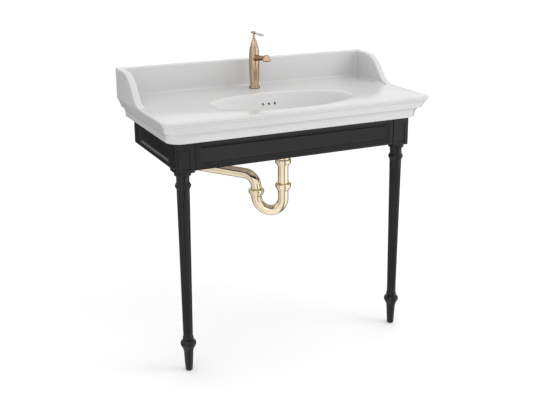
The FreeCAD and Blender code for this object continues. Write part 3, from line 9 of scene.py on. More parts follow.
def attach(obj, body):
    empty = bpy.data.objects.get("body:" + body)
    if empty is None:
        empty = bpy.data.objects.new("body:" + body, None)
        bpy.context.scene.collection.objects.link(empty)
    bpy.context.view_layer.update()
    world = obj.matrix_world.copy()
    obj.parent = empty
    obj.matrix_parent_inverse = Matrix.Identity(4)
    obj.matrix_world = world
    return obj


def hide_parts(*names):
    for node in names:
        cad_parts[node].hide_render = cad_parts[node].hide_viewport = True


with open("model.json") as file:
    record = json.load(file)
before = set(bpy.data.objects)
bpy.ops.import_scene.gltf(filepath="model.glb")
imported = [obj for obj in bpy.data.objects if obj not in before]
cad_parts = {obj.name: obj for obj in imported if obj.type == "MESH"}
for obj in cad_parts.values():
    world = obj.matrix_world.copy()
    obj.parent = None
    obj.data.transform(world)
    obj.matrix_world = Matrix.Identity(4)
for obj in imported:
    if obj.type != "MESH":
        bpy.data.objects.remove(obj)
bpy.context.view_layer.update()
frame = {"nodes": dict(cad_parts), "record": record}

bl_info = {
    "name": "Console Sink",
    "version": (1, 0, 0),
    "blender": (4, 5, 0),
    "location": "3D Viewport > Sidebar > Sink",
    "description": "Dresses the packed console sink with fine meshes and procedural materials",
    "category": "Add Mesh",
}

# Lengths are in millimetres and heights are above the floor, unless a line says otherwise.
# The frame's origin lies on the wall, at the height of the wall bolts.

MM = 0.001
WALL_BOLTS, RIM = 850.0, 900.0
FULL_TURN, QUARTER_TURN = 2 * math.pi, math.pi / 2
UP, TO_WALL = Vector((0, 0, 1)), Vector((0, 1, 0))
AHEAD = Matrix.Rotation(QUARTER_TURN, 4, "X")
SMALL_ROUND, ROUND, WIDE_ROUND = 48, 72, 96


# --- geometry helpers --------------------------------------------------------------------


def spot(x, y, height):
    """A place in the frame's own metres."""
    return Vector((x * MM, y * MM, (height - WALL_BOLTS) * MM))


def quarter(steps, first=0):
    """Sine and cosine of even steps from 0 to 90 degrees."""
    angles = [QUARTER_TURN * k / steps for k in range(first, steps + 1)]
    return [(math.sin(a), math.cos(a)) for a in angles]


def traced(points, step=1.5):
    """Turn a profile of lines and arcs into closely set points.
    (r, z) ends a line and (r, z, radius, side) ends an arc that bulges left (1) or right (-1)."""
    least, per_radian = 3, 9
    out = [Vector(points[0][:2])]
    for point in points[1:]:
        start, end = out[-1].copy(), Vector(point[:2])
        if len(point) == 2:
            out.append(end)
            continue
        radius, side = point[2], point[3]
        chord = end - start
        half = chord.length / 2
        left = Vector((-chord.y, chord.x)).normalized()
        inward = math.sqrt(max(radius * radius - half * half, 0))
        centre = (start + end) / 2 - left * side * inward
        sweep = 2 * math.asin(min(half / radius, 1)) * -side
        count = max(least, int(abs(sweep) * radius / step), int(abs(sweep) * per_radian))
        first = start - centre
        for k in range(1, count + 1):
            angle = sweep * k / count
            c, s = math.cos(angle), math.sin(angle)
            out.append(centre + Vector((first.x * c - first.y * s, first.x * s + first.y * c)))
    return out


def arc_points(centre, start, axis, angle, count):
    """Points round a centre, without the start itself."""
    turns = [Matrix.Rotation(angle * k / count, 3, axis) for k in range(1, count + 1)]
    return [centre + turn @ (start - centre) for turn in turns]


def weld(bm, distance=1e-6):
    bmesh.ops.remove_doubles(bm, verts=bm.verts, dist=distance)
    bmesh.ops.recalc_face_normals(bm, faces=bm.faces)


def row(bm, points):
    return [bm.verts.new(p) for p in points]


def bridge(bm, *rows, closed=True, gaps=()):
    """Quads between neighbouring rows of as many corners, but none at the gaps."""
    for first, second in zip(rows, rows[1:]):
        count = len(first)
        for k in range(count if closed else count - 1):
            if k not in gaps:
                after = (k + 1) % count
                bm.faces.new((first[k], first[after], second[after], second[k]))


def lathe(bm, profile, centre, turn=Matrix(), segments=WIDE_ROUND, shape=None):
    """Spin a profile (r, z) about the line through centre, upright unless turned.
    A profile that doesn't end on the axis is closed to a ring."""
    known = set(bm.verts)
    chain = [bm.verts.new((r * MM, 0, z * MM)) for r, z in profile]
    edges = [bm.edges.new(pair) for pair in zip(chain, chain[1:])]
    if profile[0][0] > 0 and profile[-1][0] > 0:
        edges.append(bm.edges.new((chain[-1], chain[0])))
    bmesh.ops.spin(bm, geom=chain + edges, cent=(0, 0, 0), axis=UP, angle=FULL_TURN,
                   steps=segments, use_merge=True)
    fresh = [v for v in bm.verts if v not in known]
    if shape:
        for v in fresh:
            r = math.hypot(v.co.x, v.co.y)
            if r > 0:
                share = shape(r / MM, v.co.z / MM, math.atan2(v.co.y, v.co.x)) / (r / MM)
                v.co.x, v.co.y = v.co.x * share, v.co.y * share
    bmesh.ops.transform(bm, matrix=Matrix.Translation(centre) @ turn, verts=fresh)


def tube(bm, path, radius, segments=SMALL_ROUND):
    """A round tube along points, without twist, made of bridged circles."""
    rings, loops = [], []
    across = None
    for k, point in enumerate(path):
        before, after = path[max(k - 1, 0)], path[min(k + 1, len(path) - 1)]
        along = (after - before).normalized()
        if across is None:
            across = along.orthogonal().normalized()
        across = (across - along * across.dot(along)).normalized()
        place = Matrix((across, along.cross(across), along)).transposed().to_4x4()
        place.translation = point
        r = radius(k / (len(path) - 1)) if callable(radius) else radius
        circle = bmesh.ops.create_circle(bm, segments=segments, radius=r * MM, matrix=place)
        rings.append(circle["verts"])
        loops.append(list({e for v in circle["verts"] for e in v.link_edges}))
    for low, high in zip(loops, loops[1:]):
        bmesh.ops.bridge_loops(bm, edges=low + high)
    return rings


def close_ends(bm):
    """Fill every open end."""
    bmesh.ops.holes_fill(bm, edges=[e for e in bm.edges if e.is_boundary], sides=0)


def fill_between(bm, outer, inner):
    """Flat faces between two closed rows in one plane."""
    edges = []
    for ring in (outer, inner):
        for pair in zip(ring, ring[1:] + ring[:1]):
            edges.append(bm.edges.get(pair) or bm.edges.new(pair))
    bmesh.ops.triangle_fill(bm, use_beauty=True, use_dissolve=False, edges=edges)


def new_object(name, data):
    thing = bpy.data.objects.new(name, data)
    bpy.context.scene.collection.objects.link(thing)
    return thing


def dress(name, look, shape, replaces=(), body="console", sharp=40, doubles=1e-6):
    """Let shape fill a mesh, shade it, and hang the finished piece on its body."""
    bm = bmesh.new()
    shape(bm)
    weld(bm, doubles)
    limit = math.radians(sharp)
    for face in bm.faces:
        face.smooth = True
    for edge in bm.edges:
        edge.smooth = edge.is_boundary or edge.calc_face_angle(0.0) < limit
    mesh = bpy.data.meshes.new(name)
    bm.to_mesh(mesh)
    bm.free()
    piece = new_object(name, mesh)
    mesh.materials.append(bpy.context.scene.sink_looks.materials()[look])
    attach(piece, body)
    if replaces:
        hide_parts(*replaces)
    return piece


# --- materials ---------------------------------------------------------------------------

UNEVEN = "Surface unevenness"
# Each noise of the shared group: name, usual scale, detail and roughness.
NOISES = (("Cloud", 6.0, 3.0, 0.5), ("Smudge", 30.0, 5.0, 0.6), ("Height", 60.0, 2.0, 0.5))
# The part of each noise that is spread out from 0 to 1, or from a third to a fourth number. The
# last one is spread over how far a face points down, and sets the painted shade under the tap.
CLOUDS, SMUDGES, STREAKS, PAINTED_SHADE_SPAN = (0.35, 0.65), (0.3, 0.7), (0.45, 0.7), (-0.15, -0.75, 0.0, 0.8)


def node(tree, kind, inputs=(), **values):
    """A node with its values set, and its inputs linked to sockets or given values."""
    made = tree.nodes.new(kind)
    for key, value in values.items():
        setattr(made, key, value)
    for target, source in dict(inputs).items():
        if hasattr(source, "is_output"):
            tree.links.new(source, made.inputs[target])
        else:
            made.inputs[target].default_value = source
    return made


def map_range(tree, value, low, high, to_low=0.0, to_high=1.0):
    return node(tree, "ShaderNodeMapRange", {
        "Value": value, "From Min": low, "From Max": high, "To Min": to_low, "To Max": to_high,
    }).outputs["Result"]


def mix_colours(tree, factor, first, second, blend="MIX"):
    """Two colours mixed; a mix node keeps them at its inputs 6 and 7 and its output 2."""
    inputs = {"Factor": factor, 6: first, 7: second}
    return node(tree, "ShaderNodeMix", inputs, data_type="RGBA", blend_type=blend).outputs[2]


def surface_group():
    """Fine unevenness shared by all finishes: cloudy tint, smudges and a soft height."""
    tree = bpy.data.node_groups.new(UNEVEN, "ShaderNodeTree")
    for label, scale, _, _ in NOISES:
        for name, way in ((label, "OUTPUT"), (label + " scale", "INPUT")):
            socket = tree.interface.new_socket(name, in_out=way, socket_type="NodeSocketFloat")
        socket.default_value = scale
    given, out = node(tree, "NodeGroupInput"), node(tree, "NodeGroupOutput")
    where = node(tree, "ShaderNodeTexCoord").outputs["Object"]
    for label, _, detail, roughness in NOISES:
        noise = node(tree, "ShaderNodeTexNoise", {
            "Vector": where, "Scale": given.outputs[label + " scale"],
            "Detail": detail, "Roughness": roughness,
        })
        tree.links.new(noise.outputs["Fac"], out.inputs[label])


def finish_material(name, tints, roughness, scales, bump, shader, grain=None, painted_shade_below=None):
    """A Principled material whose tint, roughness and height follow the shared unevenness.
    Grain holds the stretch, scale and dark tint of fibres; the last argument is the colour of
    painted shade on faces that point down."""
    material = bpy.data.materials.new(name)
    material.use_nodes = True
    tree = material.node_tree
    tree.nodes.clear()
    uneven = node(tree, "ShaderNodeGroup", node_tree=bpy.data.node_groups[UNEVEN])
    for (label, *_), scale in zip(NOISES, scales):
        uneven.inputs[label + " scale"].default_value = scale
    cloud = map_range(tree, uneven.outputs["Cloud"], *CLOUDS)
    colour = mix_colours(tree, cloud, *[(*tint, 1) for tint in tints])
    height = uneven.outputs["Height"]
    if grain:
        stretch, scale, dark = grain
        where = node(tree, "ShaderNodeTexCoord").outputs["Object"]
        along = node(tree, "ShaderNodeMapping", {"Vector": where, "Scale": stretch}).outputs[0]
        fibres = node(tree, "ShaderNodeTexNoise", {
            "Vector": along, "Scale": scale, "Detail": 6.0, "Roughness": 0.65,
        }).outputs["Fac"]
        streak = map_range(tree, fibres, *STREAKS)
        colour = mix_colours(tree, streak, colour, (*dark, 1), "MULTIPLY")
        height = node(tree, "ShaderNodeMath", {0: height, 1: fibres}, operation="ADD").outputs[0]
    # Painted shade: faces that point down are darkened towards the given colour, as if they lay in
    # shade.
    if painted_shade_below:
        normal = node(tree, "ShaderNodeNewGeometry").outputs["Normal"]
        facing = node(tree, "ShaderNodeSeparateXYZ", {0: normal}).outputs["Z"]
        painted_shade = map_range(tree, facing, *PAINTED_SHADE_SPAN)
        colour = mix_colours(tree, painted_shade, colour, (*painted_shade_below, 1))
    strength, distance = bump
    lift = node(tree, "ShaderNodeBump", {
        "Height": height, "Strength": strength, "Distance": distance,
    })
    surface = node(tree, "ShaderNodeBsdfPrincipled", {
        "Base Color": colour, "Normal": lift.outputs["Normal"],
        "Roughness": map_range(tree, uneven.outputs["Smudge"], *SMUDGES, *roughness), **shader,
    })
    node(tree, "ShaderNodeOutputMaterial", {"Surface": surface.outputs["BSDF"]})
    return material


def shades(colour, share):
    """A colour and its darker shade."""
    return tuple(c * share for c in colour), tuple(colour)


def make_materials(looks):
    """Every finish by its look."""
    surface_group()
    return {
        "ceramic": finish_material(
            "Glazed ceramic", shades(looks.ceramic, 0.963), (0.12, 0.2), (4, 22, 28),
            (0.02, 0.0004), {"IOR": 1.5, "Coat Weight": 0.3, "Coat Roughness": 0.08}),
        "porcelain": finish_material(
            "Glazed porcelain", shades(looks.grip, 0.91), (0.06, 0.12), (30, 90, 120),
            (0.05, 0.0003), {"IOR": 1.52, "Coat Weight": 0.5, "Coat Roughness": 0.03}),
        "black_wood": finish_material(
            "Black lacquered wood", shades(looks.black, 0.6), (0.24, 0.32), (9, 40, 160),
            (0.04, 0.0003), {"IOR": 1.5, "Specular IOR Level": 0.33},
            grain=((18, 18, 2.2), 14.0, (0.75, 0.75, 0.75))),
        "plain_wood": finish_material(
            "Sanded wood", ((0.52, 0.36, 0.20), (0.60, 0.43, 0.25)), (0.5, 0.65), (5, 30, 90),
            (0.25, 0.0006), {"IOR": 1.45},
            grain=((2.0, 22, 22), 9.0, (0.62, 0.55, 0.48))),
        "brass": finish_material(
            "Polished pale brass", shades(looks.brass, 0.935), (0.06, 0.14), (14, 60, 140),
            (0.03, 0.0002), {"Metallic": 1.0, "Specular Tint": (0.62, 0.52, 0.38, 1)}),
        # The tap's brass carries painted shade: a dark brown on its faces that point down, under
        # the arm and the outlet.
        "tap_brass": finish_material(
            "Satin warm brass", shades(looks.tap_brass, 0.87), (0.08, 0.15), (16, 70, 160),
            (0.03, 0.0002), {"Metallic": 1.0, "Specular Tint": (0.40, 0.30, 0.20, 1)},
            painted_shade_below=(0.16, 0.10, 0.05)),
        "steel": finish_material(
            "Zinc plated steel", ((0.52, 0.53, 0.54), (0.62, 0.62, 0.60)), (0.28, 0.42),
            (30, 90, 300), (0.1, 0.0002), {"Metallic": 1.0}),
        "rubber": finish_material(
            "Matt rubber", ((0.018, 0.018, 0.018), (0.035, 0.034, 0.033)), (0.6, 0.8),
            (20, 80, 400), (0.2, 0.0003), {"IOR": 1.45}),
        "glide": finish_material(
            "Nylon glide", ((0.03, 0.03, 0.03), (0.05, 0.05, 0.05)), (0.4, 0.55),
            (25, 90, 300), (0.1, 0.0002), {"IOR": 1.5}),
        "dark_plastic": finish_material(
            "Dark plastic", ((0.03, 0.03, 0.03), (0.055, 0.055, 0.055)), (0.35, 0.5),
            (25, 90, 300), (0.1, 0.0002), {"IOR": 1.5}),
    }


# --- ceramic basin -----------------------------------------------------------------------

HALF, DEPTH = 500.0, 512.0
TAP_Y, TAP_HOLE = -88.0, 17.5

# The moulded edge: inset and drop of each level, and the plan radius of its front corners.
NOSE = 5.0
RIM_CORNER, BAND_CORNER, LIP_CORNER = 26.0, 38.0, 50.0
BEAD_MOULD = ((0, 8.2), (0.4, 8.9), (2.6, 9.7), (3.0, 10.2), (3.0, 15.0), (3.3, 16.0), (5.6, 17.1),
              (6.2, 17.6))
BAND_FOOT, COVE_FOOT = (14.0, 42.0), (28.0, 70.0)
LIP_MOULD = ((28, 76.5), (28.6, 77.7), (30, 78))

# The hollow underside, as drops under the rim and a plan.
CEILING_DROP, SEAT_DROP = 16.0, 78.0
HOLLOW_PLAN = ((-422, -40), (-422, -404), (-413, -425), (-392, -434), (392, -434), (413, -425),
               (422, -404), (422, -40))

# The bowl: BOWL_FORM says at which part of its depth its wall has come in by which part.
BOWL_Y, BOWL_DEPTH, BOWL_WALL = -328.0, 130.0, 12.0
BOWL_HALF_LENGTH, BOWL_HALF_WIDTH, LENGTH_TAPER = 265.0, 138.0, 1.35
BOWL_FORM = ((0.0, 0.0), (0.05, 0.035), (0.2, 0.12), (0.4, 0.235), (0.6, 0.37), (0.8, 0.52),
             (0.95, 0.665), (1.0, 0.74))
FLOOR_STEEPER = 1.6
BOWL_RINGS = 40
EDGE_BEND = math.radians(53.4)
DRAIN_SEAT, DRAIN_HOLE, DRAIN_BOSS, DRAIN_STEP, BOSS_DROP = 34.0, 24.5, 42.0, 2.0, 156.0
OVERFLOW_HOLE, OVERFLOW_GAP, OVERFLOW_Y, OVERFLOW_DROP = 4.5, 23.5, -215.0, 38.0
BOLT_HOLE, BOLT_X, BOLT_Y = 7.0, 140.0, -20.0
SHORT_CUT, LONG_CUT = 40.0, 60.0

# The upstand and its wings.
SPLASH, WALL, WALL_TURN = 100.0, 24.0, 10.0
WING_REACH, CREST_START, CREST, FOOT, WING_ANGLE = 268.0, 85.0, 120.0, 90.0, math.radians(50)
SPLASH_COVE, SPLASH_ROLL, BACK_ROLL, COVE_SHARE, ROLL_SHARE = 8.0, 6.0, 4.5, 0.5, 0.45

# The overflow duct, which is as wide as the drain's boss.
DUCT_BACK, DUCT_DROP, DUCT_WALL, DUCT_IN_BOWL, DUCT_IN_DECK = -174.0, 155.8, 3.0, 3.0, 0.5
DUCT_STEP, DUCT_STEPS, DUCT_HOLE = 2.4, 64, 24.6


def fascia_steps():
    """Inset, drop and corner radius of each level of the moulded edge."""
    steps = [(NOSE * (1 - s), NOSE * (1 - c), RIM_CORNER) for s, c in quarter(8)]
    steps += [(inset, drop, RIM_CORNER) for inset, drop in BEAD_MOULD]
    band = list(zip(steps[-1], (*BAND_FOOT, BAND_CORNER)))
    steps += [tuple(a + (b - a) * k / 6 for a, b in band) for k in range(1, 7)]
    inset, drop = BAND_FOOT
    wide, tall = COVE_FOOT[0] - inset, COVE_FOOT[1] - drop
    for k, (s, c) in enumerate(quarter(12, 1), 1):
        corner = BAND_CORNER + (LIP_CORNER - BAND_CORNER) * k / 12
        steps.append((inset + wide * s, drop + tall * (1 - c), corner))
    return steps + [(inset, drop, LIP_CORNER) for inset, drop in LIP_MOULD]


def rim_path(inset, corner):
    """Plan points of one level, from the wall on the left round the front to the right."""
    half, front = HALF - inset, DEPTH - inset
    run, reach = half - corner, front - corner
    left = [(-half, -reach * k / 24) for k in range(24)]
    left += [(-half + corner * (1 - c), -reach - corner * s) for s, c in quarter(16)]
    middle = [(-run + 2 * run * k / 40, -front) for k in range(1, 40)]
    return left + middle + [(-x, y) for x, y in reversed(left)]


def ellipse(half_length, half_width, height, count=128):
    """Points round the middle of the bowl."""
    angles = [FULL_TURN * k / count for k in range(count)]
    return [spot(half_length * math.cos(a), BOWL_Y + half_width * math.sin(a), height)
            for a in angles]


def bowl_halves(shrink, grow):
    """The bowl's half length and half width where its wall has come in by a part."""
    inward = BOWL_HALF_WIDTH * shrink
    return BOWL_HALF_LENGTH - inward * LENGTH_TAPER + grow, BOWL_HALF_WIDTH - inward + grow


def shrink_at(depth):
    """How far the bowl's wall has come in at a part of its depth, on a smooth curve."""
    xs, ys = zip(*BOWL_FORM)
    slopes = [(ys[k + 1] - ys[k]) / (xs[k + 1] - xs[k]) for k in range(len(xs) - 1)]
    tangents = [slopes[0]] + [(a + b) / 2 for a, b in zip(slopes, slopes[1:])]
    tangents.append(slopes[-1] * FLOOR_STEEPER)
    for k in range(len(slopes)):
        if depth <= xs[k + 1]:
            span = xs[k + 1] - xs[k]
            t = (depth - xs[k]) / span
            return ((2 * t**3 - 3 * t**2 + 1) * ys[k]
                    + (t**3 - 2 * t**2 + t) * span * tangents[k]
                    + (3 * t**2 - 2 * t**3) * ys[k + 1] + (t**3 - t**2) * span * tangents[k + 1])
    return ys[-1]


def bowl_inside(edge):
    """Rings of the bowl from its rolled edge down, through the drain and round its boss."""
    rings = []
    for k in range(9):
        a = EDGE_BEND * k / 8
        out = edge * (math.tan(EDGE_BEND / 2) - math.sin(a))
        halves = bowl_halves(max(-out, 0) / BOWL_HALF_WIDTH, max(out, 0))
        rings.append(ellipse(*halves, RIM - edge * (1 - math.cos(a))))
    for k in range(3, BOWL_RINGS + 1):
        depth = k / BOWL_RINGS
        rings.append(ellipse(*bowl_halves(shrink_at(depth), 0), RIM - BOWL_DEPTH * depth))
    drain = ((DRAIN_SEAT, BOWL_DEPTH), (DRAIN_SEAT, BOWL_DEPTH + DRAIN_STEP),
             (DRAIN_HOLE, BOWL_DEPTH + DRAIN_STEP), (DRAIN_HOLE, BOSS_DROP),
             (DRAIN_BOSS, BOSS_DROP), (DRAIN_BOSS, BOWL_DEPTH + BOWL_WALL))
    return rings + [ellipse(radius, radius, RIM - drop) for radius, drop in drain]


def bowl_outside():
    """Rings of the bowl's outer face from its floor up to the ceiling of the hollow."""
    rings = []
    for k in range(BOWL_RINGS, 5, -1):
        depth = k / BOWL_RINGS
        height = RIM - (BOWL_DEPTH + BOWL_WALL) * depth
        rings.append(ellipse(*bowl_halves(shrink_at(depth), BOWL_WALL), height))
    level = spot(0, 0, RIM - CEILING_DROP).z
    return rings + [[Vector((p.x, p.y, level)) for p in rings[-1]]]


def basin_slab(bm, edge):
    """One closed shell: deck, moulded edge, seat, hollow underside, bowl and drain."""
    levels = [row(bm, [spot(x, y, RIM - drop) for x, y in rim_path(inset, corner)])
              for inset, drop, corner in fascia_steps()]
    bridge(bm, *levels, closed=False)
    bm.faces.new([level[0] for level in levels] + [level[-1] for level in reversed(levels)])
    seat, ceiling = [row(bm, [spot(x, y, RIM - drop) for x, y in HOLLOW_PLAN])
                     for drop in (SEAT_DROP, CEILING_DROP)]
    bridge(bm, seat, ceiling)
    fill_between(bm, levels[-1], seat)
    bowl = [row(bm, ring) for ring in bowl_inside(edge) + bowl_outside()]
    bridge(bm, *bowl)
    fill_between(bm, ceiling, bowl[-1])
    fill_between(bm, levels[0], bowl[0])


def splash_height(setback):
    """Height of a wing above the deck at a distance from the wall."""
    fall = 1 - math.cos(WING_ANGLE)
    crest_end = CREST_START + CREST * math.sin(WING_ANGLE)
    foot_start = crest_end + (SPLASH - (CREST + FOOT) * fall) / math.tan(WING_ANGLE)
    end = foot_start + FOOT * math.sin(WING_ANGLE)
    if setback <= CREST_START:
        return SPLASH
    if setback <= crest_end:
        return SPLASH - CREST + math.sqrt(CREST**2 - (setback - CREST_START)**2)
    if setback <= foot_start:
        return SPLASH - CREST * fall - (setback - crest_end) * math.tan(WING_ANGLE)
    if setback < end:
        return FOOT - math.sqrt(FOOT**2 - (end - setback)**2)
    return 0.0


def splash_stations():
    """Inner point, outer point and height along the wall, from wing to wing."""
    inner_x, inset = -HALF + WALL, WALL + WALL_TURN
    stations = []
    for k in range(91):
        y = -WING_REACH + (WING_REACH - inset) * k / 90
        stations.append(((inner_x, y), (-HALF, y), splash_height(-y)))
    for k, (s, c) in enumerate(quarter(8, 1), 1):
        part = k / 4
        outer = (-HALF, -inset * (1 - part)) if part <= 1 else (-HALF + inset * (part - 1), 0)
        stations.append(((inner_x + WALL_TURN * (1 - c), -inset + WALL_TURN * s), outer, SPLASH))
    for k in range(1, 30):
        x = (-HALF + inset) * (1 - k / 30)
        stations.append(((x, -WALL), (x, 0), SPLASH))
    return stations + [((-a[0], a[1]), (-b[0], b[1]), h) for a, b, h in reversed(stations)]


def splash_wall(bm):
    """Upstand and wings as one wall swept round the back of the deck."""
    least, sunk, hair = 0.02, 0.4, 0.01
    sections = []
    for inner, outer, height in splash_stations():
        inner, outer, height = Vector(inner), Vector(outer), max(height, least)
        way = (outer - inner).normalized()
        cove, roll = min(SPLASH_COVE, height * COVE_SHARE), min(SPLASH_ROLL, height * ROLL_SHARE)
        edge = min(roll, BACK_ROLL)
        at_back = outer.y > -hair and abs(outer.x) < HALF - hair
        points = [(inner - way * cove, -sunk), (inner - way * cove, least)]
        points += [(inner - way * cove * (1 - s), cove * (1 - c)) for s, c in quarter(8, 1)]
        points += [(inner + way * roll * (1 - c), height - roll * (1 - s)) for s, c in quarter(8)]
        points += [(outer - way * edge * (1 - s), height - edge * (1 - c)) for s, c in quarter(8)]
        points.append((outer, 0 if at_back else -NOSE))
        sections.append(row(bm, [spot(p.x, p.y, RIM + z) for p, z in points]))
    bridge(bm, *sections)
    close_ends(bm)


def underside(x, y):
    """Height of the bowl's outer face over a point, or of the deck's underside beside the bowl.
    The duct runs a little way into both."""
    steps = 160
    deck = RIM - CEILING_DROP + DUCT_IN_DECK
    for k in range(steps, 0, -1):
        depth = k / steps
        a, b = bowl_halves(shrink_at(depth), BOWL_WALL)
        if (x / a) ** 2 + ((y - BOWL_Y) / b) ** 2 <= 1:
            return min(deck, RIM - (BOWL_DEPTH + BOWL_WALL) * depth + DUCT_IN_BOWL)
    return deck


def overflow_duct(bm):
    """The cast passage behind and under the bowl."""
    side = [(DRAIN_BOSS, DUCT_BACK - DUCT_STEP * k) for k in range(DUCT_STEPS)]
    angles = [math.pi * k / 24 for k in range(25)]
    front = [(DRAIN_BOSS * math.cos(a), BOWL_Y - DRAIN_BOSS * math.sin(a)) for a in angles]
    plan = side + front + [(-x, y) for x, y in reversed(side)]
    plan += [(DRAIN_BOSS * (k / 8 - 1), DUCT_BACK) for k in range(1, 16)]
    low = row(bm, [spot(x, y, RIM - DUCT_DROP) for x, y in plan])
    high = row(bm, [spot(x, y, underside(x, y)) for x, y in plan])
    bridge(bm, low, high)
    hole = row(bm, ellipse(DUCT_HOLE, DUCT_HOLE, RIM - DUCT_DROP, SMALL_ROUND))
    fill_between(bm, low, hole)
    weld(bm)
    bmesh.ops.solidify(bm, geom=bm.faces[:], thickness=DUCT_WALL * MM)


def cut_hole(piece, centre, radius, length, along):
    """Cut a round hole through a piece, then remove the tool."""
    bm = bmesh.new()
    turn = UP.rotation_difference(along).to_matrix().to_4x4()
    profile = [(0, -length / 2), (radius, -length / 2), (radius, length / 2), (0, length / 2)]
    lathe(bm, profile, centre, turn, SMALL_ROUND)
    weld(bm)
    mesh = bpy.data.meshes.new("hole")
    bm.to_mesh(mesh)
    bm.free()
    tool = new_object("hole", mesh)
    cut = piece.modifiers.new("hole", "BOOLEAN")
    cut.operation, cut.solver, cut.object = "DIFFERENCE", "EXACT", tool
    with bpy.context.temp_override(object=piece, active_object=piece):
        bpy.ops.object.modifier_apply(modifier=cut.name)
    bpy.data.objects.remove(tool)
    bpy.data.meshes.remove(mesh)


class SINK_OT_basin(bpy.types.Operator):
    """Deck with its moulded edge and bowl, the upstand with its wings, and the overflow duct."""
    bl_idname = "sink.basin"
    bl_label = "Ceramic basin"

    def execute(self, context):
        edge = context.scene.sink_looks.bowl_edge / MM
        piece = dress("basin_top", "ceramic", lambda bm: basin_slab(bm, edge), ["basin"])
        for x in (-OVERFLOW_GAP, 0, OVERFLOW_GAP):
            centre = spot(x, OVERFLOW_Y, RIM - OVERFLOW_DROP)
            cut_hole(piece, centre, OVERFLOW_HOLE, SHORT_CUT, TO_WALL)
        cut_hole(piece, spot(0, TAP_Y, RIM - CEILING_DROP / 2), TAP_HOLE, SHORT_CUT, UP)
        for x in (-BOLT_X, BOLT_X):
            cut_hole(piece, spot(x, BOLT_Y, WALL_BOLTS), BOLT_HOLE, LONG_CUT, TO_WALL)
        dress("basin_upstand", "ceramic", splash_wall, sharp=60)
        dress("basin_duct", "ceramic", overflow_duct)
        return {"FINISHED"}


# --- wooden frame ------------------------------------------------------------------------

RAIL_FOOT, RAIL_TOP, RAIL_THICK, RAIL_ROLL = 722.0, 820.0, 22.0, 0.8
RAIL_HEIGHT = RAIL_TOP - RAIL_FOOT
APRON_Y, APRON_HALF = -454.0, 380.9
SIDE_RAIL_X, SIDE_RAIL_Y, SIDE_RAIL_HALF = 442.0, -196.5, 196.4
POST_X, POST_Y, POST_FOOT, POST_HALF, POST_ROLL, POST_EDGE = 413.0, -425.0, 716.0, 32.0, 5.0, 1.2

# Where the sunk fields lie in their boards, and the margin and depth of each step of a mould.
FIELD_END, FIELD_LOW, FIELD_HIGH, FIELD_REAR = 17.0, 9.0, 16.0, 50.0
PANEL_HALF, PANEL_LOW, PANEL_HIGH = 17.0, 11.0, 24.0
FIELD_MOULD = ((0, 0), (0.4, 1.6), (2.2, 1.9), (3.2, 1.1), (5.2, 1.0), (7.0, 1.9), (9.0, 3.6),
               (11.2, 5.0), (12.2, 6.5), (12.6, 6.6))
PANEL_MOULD = ((0, 0), (0.4, 1.2), (1.6, 1.6), (2.6, 2.6), (3.2, 3.6), (3.6, 3.6))


def inside(box, margin):
    """A box (left, low, right, high) made smaller all round."""
    left, low, right, high = box
    return left + margin, low + margin, right - margin, high - margin


def corners(bm, place, box, depth):
    """The corners of a box at a depth into the wood, along the local y."""
    left, low, right, high = box
    flat = ((left, low), (right, low), (right, high), (left, high))
    return row(bm, [place @ Vector((x * MM, depth * MM, z * MM)) for x, z in flat])


def panelled_face(bm, place, box, field, mould):
    """A flat face with a sunk, moulded field."""
    rings = [corners(bm, place, box, 0)]
    rings += [corners(bm, place, inside(field, margin), depth) for margin, depth in mould]
    bridge(bm, *rings)
    bm.faces.new(rings[-1])
    return rings[0]


def panelled_board(bm, place, half, field):
    """A rail: panelled show face with rolled edges and a plain back."""
    box = (-half, 0, half, RAIL_HEIGHT)
    rings = [panelled_face(bm, place, inside(box, RAIL_ROLL), field, FIELD_MOULD)]
    for s, c in quarter(3, 1):
        rings.append(corners(bm, place, inside(box, RAIL_ROLL * (1 - s)), RAIL_ROLL * (1 - c)))
    rings.append(corners(bm, place, box, RAIL_THICK))
    bridge(bm, *rings)
    bm.faces.new(rings[-1])


def corner_post(bm, sign):
    """A square post with a sunk panel on its two outer faces."""
    half, roll, edge, height = POST_HALF, POST_ROLL, POST_EDGE, RAIL_TOP - POST_FOOT
    centre = spot(POST_X * sign, POST_Y, POST_FOOT)
    field = (-PANEL_HALF, PANEL_LOW, PANEL_HALF, height - PANEL_HIGH)
    for angle, rolled_side in ((0, sign), (QUARTER_TURN * sign, -sign)):
        turn = Matrix.Translation(centre) @ Matrix.Rotation(angle, 4, "Z")
        place = turn @ Matrix.Translation((0, -half * MM, 0))
        left = -half + (roll if rolled_side < 0 else edge)
        right = half - (roll if rolled_side > 0 else edge)
        panelled_face(bm, place, (left, edge, right, height - edge), field, PANEL_MOULD)
    plan = [(-half + edge, -half), (half - roll, -half)]
    plan += [(half - roll + roll * s, -half + roll - roll * c) for s, c in quarter(8, 1)]
    rolled = len(plan) - 1
    plan += [(half, half - edge), (half - edge, half), (-half + edge, half), (-half, half - edge),
             (-half, -half + edge)]
    rings = []
    for inset, z in ((edge, 0), (0, edge), (0, height - edge), (edge, height)):
        share = 1 - inset / half
        rings.append(row(bm, [centre + Vector((x * sign * share * MM, y * share * MM, z * MM))
                              for x, y in plan]))
    bridge(bm, *rings[:2])
    bridge(bm, *rings[1:3], gaps=(0, rolled))
    bridge(bm, *rings[2:])
    bm.faces.new(rings[0])
    bm.faces.new(rings[-1])


